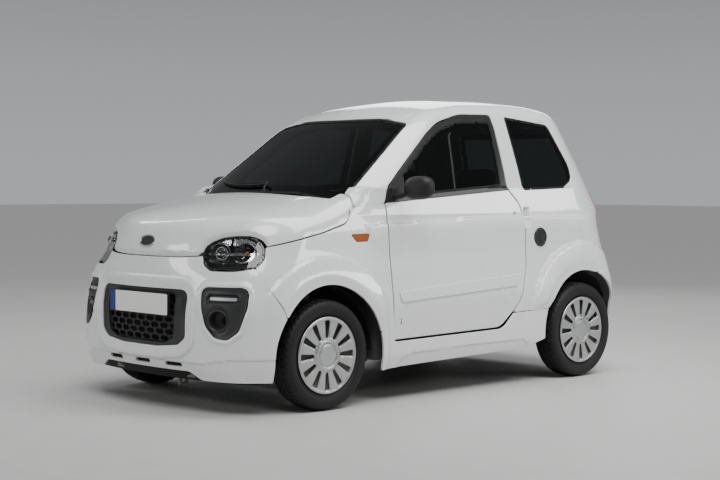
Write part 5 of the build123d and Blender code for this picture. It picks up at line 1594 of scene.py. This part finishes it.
leanCos, leanSin = cos(radians(cabin["backLean"])), sin(radians(cabin["backLean"]))
backAxes = [(1, 0, 0), (0, leanSin, leanCos), (0, -leanCos, leanSin)]
backLoop = roundedLoop([(-214, -318), (214, -318), (208, 60), (176, 322), (-176, 322), (-208, 60)],
                       [40, 40, 200, 70, 70, 200])


def backShape(p):
    return signedDistance(p[:, :2], backLoop)


def backSpot(along, out, x=0.0):
    # a spot at a distance up the seat's back and out of its face
    y, z = cabin["backFoot"]
    return (cabin["seat"] + x, y + leanSin * along - leanCos * out, z + leanCos * along + leanSin * out)


cushionPad = facePlate(cushionHeight, roundedBox(214, 218, 60), (222, 228), 10, 88, 24, 18)
backPad = facePlate(backHeight, backShape, (222, 330), 10, 78, 22, 20)
restPad = facePlate(restHeight, roundedBox(124, 66, 46), (130, 72), 7, 66, 22, 20)
backPanel = facePlate(flat(0), grown(backShape, -26), (222, 330), 16, 8, 3)
seatParts = [
    ("seatCushion_", placed(cushionPad, upright, (cabin["seat"], 114, cabin["cushionTop"] - 8)), "cloth",
     0.75, "seat_cushions"),
    ("seatBack_", placed(backPad, backAxes, backSpot(338, 22)), "cloth", 0.75, "seat_backs"),
    ("headRest_", placed(restPad, backAxes, backSpot(775, 0)), "sideCloth", 0.8, None),
]
for side, turned in (("left", lambda a: a), ("right", mirrored)):
    for name, pad, material, fill, node in seatParts:
        soft = detailPiece(name + side, turned(pad), material, nodes=[node]
                           if node and side == "left" else ())
    detailPiece("seatBackShell_" + side, turned(placed(backPanel, backAxes, backSpot(338, -54))), "dash")
posts = [tubeArrays([backSpot(640, -30, x), backSpot(760, -30, x)], 6.5, 12, 1, (1, 0, 0)) for x in (-60, 60)]
bothSides("headRestPosts", joined(*posts), "mirror")
rails = [tubeArrays([(cabin["seat"] + x, -110, 248), (cabin["seat"] + x, 430, 248)], 11, 12, 0.8)
         for x in (-150, 150)]
bothSides("seatRails", joined(*rails), "steel")

tiltCos, tiltSin = cos(radians(cabin["tilt"])), sin(radians(cabin["tilt"]))
wheelFace = [(-1, 0, 0), (0, -tiltSin, tiltCos), (0, tiltCos, tiltSin)]


def steeringRim():
    # a ring that thickens at the four places where hands hold it
    turns, sides = cabin["rimTurns"], cabin["rimSides"]
    a = np.linspace(0, 2 * pi, turns, endpoint=False)[:, None]
    b = np.linspace(0, 2 * pi, sides, endpoint=False)[None]
    grip = cabin["rimRadius"] + 0.9 * np.cos(6 * a) * (np.abs(np.cos(a)) > 0.75)
    reach = cabin["rim"] + grip * np.cos(b)
    p = np.stack([reach * np.cos(a), reach * np.sin(a), grip * np.sin(b)], 2).reshape(-1, 3)
    return p, None, quadFaces(turns, sides, True)


def spokeRegion(p):
    x, y = p[:, 0], p[:, 1]
    sideSpokes = np.maximum(np.abs(y - 4) - (17 + 0.05 * np.abs(x)), np.abs(x) - cabin["rim"])
    lowSpoke = np.maximum(np.maximum(np.abs(x) - 19, y), -y - cabin["rim"])
    hub = np.hypot(x, y * 1.15) - 62
    return np.minimum(np.minimum(sideSpokes, lowSpoke), hub)


def hubHeight(x, y):
    return 4 + 18 * (1 - smoothStep(np.hypot(x, y * 1.15), 30, 74))


detailPiece("steeringRim", placed(steeringRim(), wheelFace, cabin["wheel"]), "dash", "steering",
            ["steering_wheel"])
detailPiece("steeringSpokes", placed(facePlate(hubHeight, spokeRegion, (184, 184), 5, 18, 4, 3), wheelFace,
                                     cabin["wheel"]), "dash", "steering")
dashSection = [(-540, 958), (-470, 978), (-400, 984), (-352, 976), (-328, 952), (-322, 918), (-330, 872),
               (-340, 828), (-346, 790), (-362, 748), (-396, 712), (-450, 702), (-540, 702)]
dashRows, dashColumns = 91, 61


def dashArrays():
    # the section swept across the cabin, with a hood, a console, knee room and a glove box line
    keys = np.arange(len(dashSection))
    section = smoothRows(keys, dashSection, np.linspace(0, keys[-1], dashColumns))
    across = np.linspace(-cabin["dashWide"], cabin["dashWide"], dashRows)
    x, y = np.meshgrid(across, section[:, 0], indexing="ij")
    z = np.repeat(section[None, :, 1], dashRows, 0)
    z = z + 26 * (1 - smoothStep(np.abs(x - cabin["seat"]), 95, 165)) * smoothStep(z, 900, 980)
    console = 1 - smoothStep(np.abs(x), 120, 165)
    y = y + 22 * console * (1 - smoothStep(z, 900, 960)) * smoothStep(z, 700, 730)
    knee = 1 - smoothStep(np.abs(x - cabin["seat"]), 120, 200)
    y = y - 26 * knee * (1 - smoothStep(z, 780, 860)) * smoothStep(z, 700, 720)
    lid = np.abs(x + 330)
    glove = (np.abs(lid - 165) < 7) & (z < 852) & (z > 720) | (np.abs(z - 852) < 5) & (lid < 165)
    y = y - 5 * (glove & (y > -420))
    p = np.stack([x, y, z], 2).reshape(-1, 3)
    return p, None, np.concatenate([quadFaces(dashRows, dashColumns, False), endFans(dashRows, dashColumns)])


def ventArrays(x, z):
    # a round vent with four blades
    depth = 18 if abs(x) < 200 else 0
    parts = [placed(latheArrays(ventLoop, 40), rearward, (x, depth - 318, z))]
    for row in (-18, -6, 6, 18):
        half = sqrt(30 ** 2 - row ** 2)
        parts.append(tubeArrays([(x - half, depth - 322, z + row), (x + half, depth - 322, z + row)], 3.4, 8,
                                0.4))
    return joined(*parts)


detailPiece("dashBody", dashArrays(), "dash", nodes=["dashboard"], sharp=50)
ventLoop = [(30, -3), (32, 3), (36, 5), (40, 2), (40, -12), (30, -12)]
vents = [ventArrays(x, z) for x, z in ((-520, 905), (520, 905), (-85, 925), (85, 925))]
detailPiece("dashVents", joined(*vents), "blackGloss")
screenFace = facePlate(flat(0), roundedBox(88, 44, 8), (95, 50), 10, 14, 2.4)
detailPiece("dashScreen", placed(screenFace, rearward, (0, -298, 846)), "blackGloss")
dialLoop = [(36, -2), (38, 4), (42, 5), (44, 0), (44, -14), (0.1, -14), (0.1, -8), (34, -8)]
dials = [placed(latheArrays(dialLoop, 48), wheelFace, (cabin["seat"] + x, -322, 968)) for x in (-48, 48)]
detailPiece("dashDials", joined(*dials), "blackGloss")
knobLoop = [(0.1, 16), (9, 15), (11, 12), (12, 0), (15, -2), (0.1, -4)]
knobs = [placed(latheArrays(knobLoop, 32), rearward, (x, -306, 772)) for x in (-55, 0, 55)]
detailPiece("dashKnobs", joined(*knobs), "blackPlastic")
columnLine = [np.array(cabin["wheel"]) + np.array((0, tiltCos, tiltSin)) * d for d in (-190, -120, -40, -16)]
column = [tubeArrays(columnLine, [44, 44, 38, 30], 28, 0.9)]
for way in (-1, 1):
    stalkLine = curvePoints([(300 + way * 30, -205, 900), (300 + way * 90, -200, 915),
                             (300 + way * 150, -190, 925)], 8)
    column.append(tubeArrays(stalkLine, [6, 5, 5, 5, 5, 6, 7.5, 6], 12))
detailPiece("steeringColumn", joined(*column), "dash")
lever = tubeArrays([(0, 40, 240), (0, 30, 330), (0, 22, 396), (0, 20, 420)], [9, 8, 16, 12], 20, 1, (0, 1, 0))
gaiter = latheArrays([(0.1, 30), (14, 28), (24, 12), (44, 2), (52, 0), (52, -8), (0.1, -8)], 40)
detailPiece("gearLever", joined(lever, placed(gaiter, upright, (0, 40, 240))), "dash")
pedalAxes = [(-1, 0, 0), (0, -0.42, 0.9), (0, 0.9, 0.42)]
pedals = []
for x in (250, 340):
    pedals.append(tubeArrays([(x, -470, 520), (x, -450, 400), (x, -430, 330)], 7, 10, 1, (1, 0, 0)))
    pad = facePlate(flat(0), roundedBox(32, 26, 8), (36, 30), 8, 9, 2.4)
    pedals.append(placed(pad, pedalAxes, (x, -424, 322)))
detailPiece("footPedals", joined(*pedals), "rubber")


def tufts(pitch):
    return lambda x, y: 1.2 * np.sin(x * pitch) * np.sin(y * pitch)


mat = facePlate(tufts(0.4), roundedBox(235, 380, 30), (240, 388), 26, 7, 2.5)
bothSides("floorMats", placed(mat, upright, (300, -150, 236)), "carpet")
bootMat = facePlate(tufts(0.3), roundedBox(378, 330, 20), (382, 338), 30, 8, 2.5)
detailPiece("bootMat", placed(bootMat, upright, (0, 1010, 444)), "carpet")
lining = panelArrays(roofRays, upperForm, grown(roofRegion, -14), (-440, 440), (-190, 1130), 28, None, -24, 4,
                     1.5)
detailPiece("headLining", lining, "lining")


def underWindow(p):
    return p[:, 2] - 985 - (p[:, 1] + 465) * 0.066


def restRelief(x, y):
    return 6 * np.cos(x / 260)


doorLining = sideSkin(within(grown(sideView(doorSide), -16), underWindow), (-460, 560), (300, 1060), 18,
                      doorRelief, -9.5, 26, 2, 6)
inward = [(0, -1, 0), (0, 0, 1), (-1, 0, 0)]
rests = []
for half, high, spot in ((190, 24, (608, 20, 700)), (230, 60, (628, 20, 470))):
    face = facePlate(restRelief, roundedBox(half, high, 18), (half + 6, high + 6), 10, 34, 8)
    rests.append(placed(face, inward, spot))
doorPieces("doorLining_", doorLining, "dash")
doorPieces("doorRest_", joined(*rests, plain=True), "greyPlastic")
print("cabin made")

nodeFinish = dict(
    floor_pan="carpet", chassis_frame="frameBlack", cross_members="frameBlack", tow_members="frameBlack",
    jack_pads="rubber", arch_liners="blackPlastic", seat_bases="dash", front_axle="steel", rear_axle="steel",
    knuckle_left="steel", knuckle_right="steel", engine_block="engine", exhaust="exhaust")
for name, material in nodeFinish.items():
    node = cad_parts.get(name)
    if node is None:
        continue
    node.data.materials.clear()
    node.data.materials.append(finish[material])
    for polygon in node.data.polygons:
        polygon.material_index = 0
print("running gear dressed")

studio = dict(place=(5.96931833, -5.66287701, 1.07823284), yaw=2.38395658, pitch=-0.0373887, roll=0.0033256,
              lens=74.828, sky=(0.86, 0.88, 0.9), fade=(0.0, 0.3, 0.5, 0.13), broad=(1.9, 0.6),
              broadFrom=(0.42, -0.3, 0.86))


def aimCamera():
    yaw, pitch, roll = studio["yaw"], studio["pitch"], studio["roll"]
    forward = Vector((cos(pitch) * cos(yaw), cos(pitch) * sin(yaw), sin(pitch)))
    right = Vector((sin(yaw), -cos(yaw), 0))
    up = right.cross(forward)
    right, up = right * cos(roll) + up * sin(roll), up * cos(roll) - right * sin(roll)
    data = bpy.data.cameras.new("studioCamera")
    data.lens, data.sensor_width, data.sensor_fit = studio["lens"], 36, "HORIZONTAL"
    data.clip_start, data.clip_end = 0.1, 200
    camera = bpy.data.objects.new("studioCamera", data)
    camera.matrix_world = Matrix((right, up, -forward)).transposed().to_4x4()
    camera.location = studio["place"]
    bpy.context.scene.collection.objects.link(camera)
    bpy.context.scene.camera = camera


def areaLight(name, place, target, size, power, colour=(1, 1, 1)):
    data = bpy.data.lights.new(name, "AREA")
    data.shape, data.size, data.size_y, data.energy, data.color = "RECTANGLE", size[0], size[1], power, colour
    lamp = bpy.data.objects.new(name, data)
    lamp.location = place
    lamp.rotation_euler = (Vector(target) - Vector(place)).to_track_quat("-Z", "Y").to_euler()
    bpy.context.scene.collection.objects.link(lamp)


aimCamera()
world = bpy.data.worlds.new("studioWorld")
bpy.context.scene.world = world
world.use_nodes = True
tree = world.node_tree
place = addNode(tree, "TexCoord").outputs["Generated"]
height = addNode(tree, "SeparateXYZ", Vector=place).outputs["Z"]
low, high, dim, bright = studio["fade"]
ramp = addNode(tree, "MapRange", Value=height, From_Min=low, From_Max=high, To_Min=dim, To_Max=bright)
ramp.interpolation_type = "SMOOTHSTEP"
tree.links.new(ramp.outputs["Result"], tree.nodes["Background"].inputs["Strength"])
tree.nodes["Background"].inputs["Color"].default_value = (*studio["sky"], 1)
areaLight("topLight", (1.9, 0.6, 4.8), (0.3, 0, 0.6), (2.0, 5.2), 210)
areaLight("streakLight", (-3.3, -1.5, 4.0), (0, -0.5, 1.2), (0.22, 2.6), 26)
areaLight("keyLight", (5.4, 4.6, 2.4), (0.3, 0.2, 0.7), (3.6, 0.8), 90)
areaLight("noseLight", (-1.8, -7.0, 2.9), (0, -1, 0.6), (4.6, 0.8), 80)
areaLight("backLight", (-4, 5.5, 3.6), (0, 0.5, 0.8), (4, 2), 90)
sunData = bpy.data.lights.new("broadLight", "SUN")
sunData.energy, sunData.angle = studio["broad"]
sunLamp = bpy.data.objects.new("broadLight", sunData)
sunLamp.rotation_euler = Vector(studio["broadFrom"]).to_track_quat("Z", "Y").to_euler()
bpy.context.scene.collection.objects.link(sunLamp)
floorMesh = bpy.data.meshes.new("floor")
floorMesh.from_pydata([(-60, -60, 0), (60, -60, 0), (60, 60, 0), (-60, 60, 0)], [], [(0, 1, 2, 3)])
floor = bpy.data.objects.new("floor", floorMesh)
bpy.context.scene.collection.objects.link(floor)
floorMesh.materials.append(makeMaterial("paleFloor", (0.5, 0.5, 0.49), (0.54, 0.54, 0.53), (0.45, 0.6),
                                        grain=90, bump=0.05))
print("studio ready")
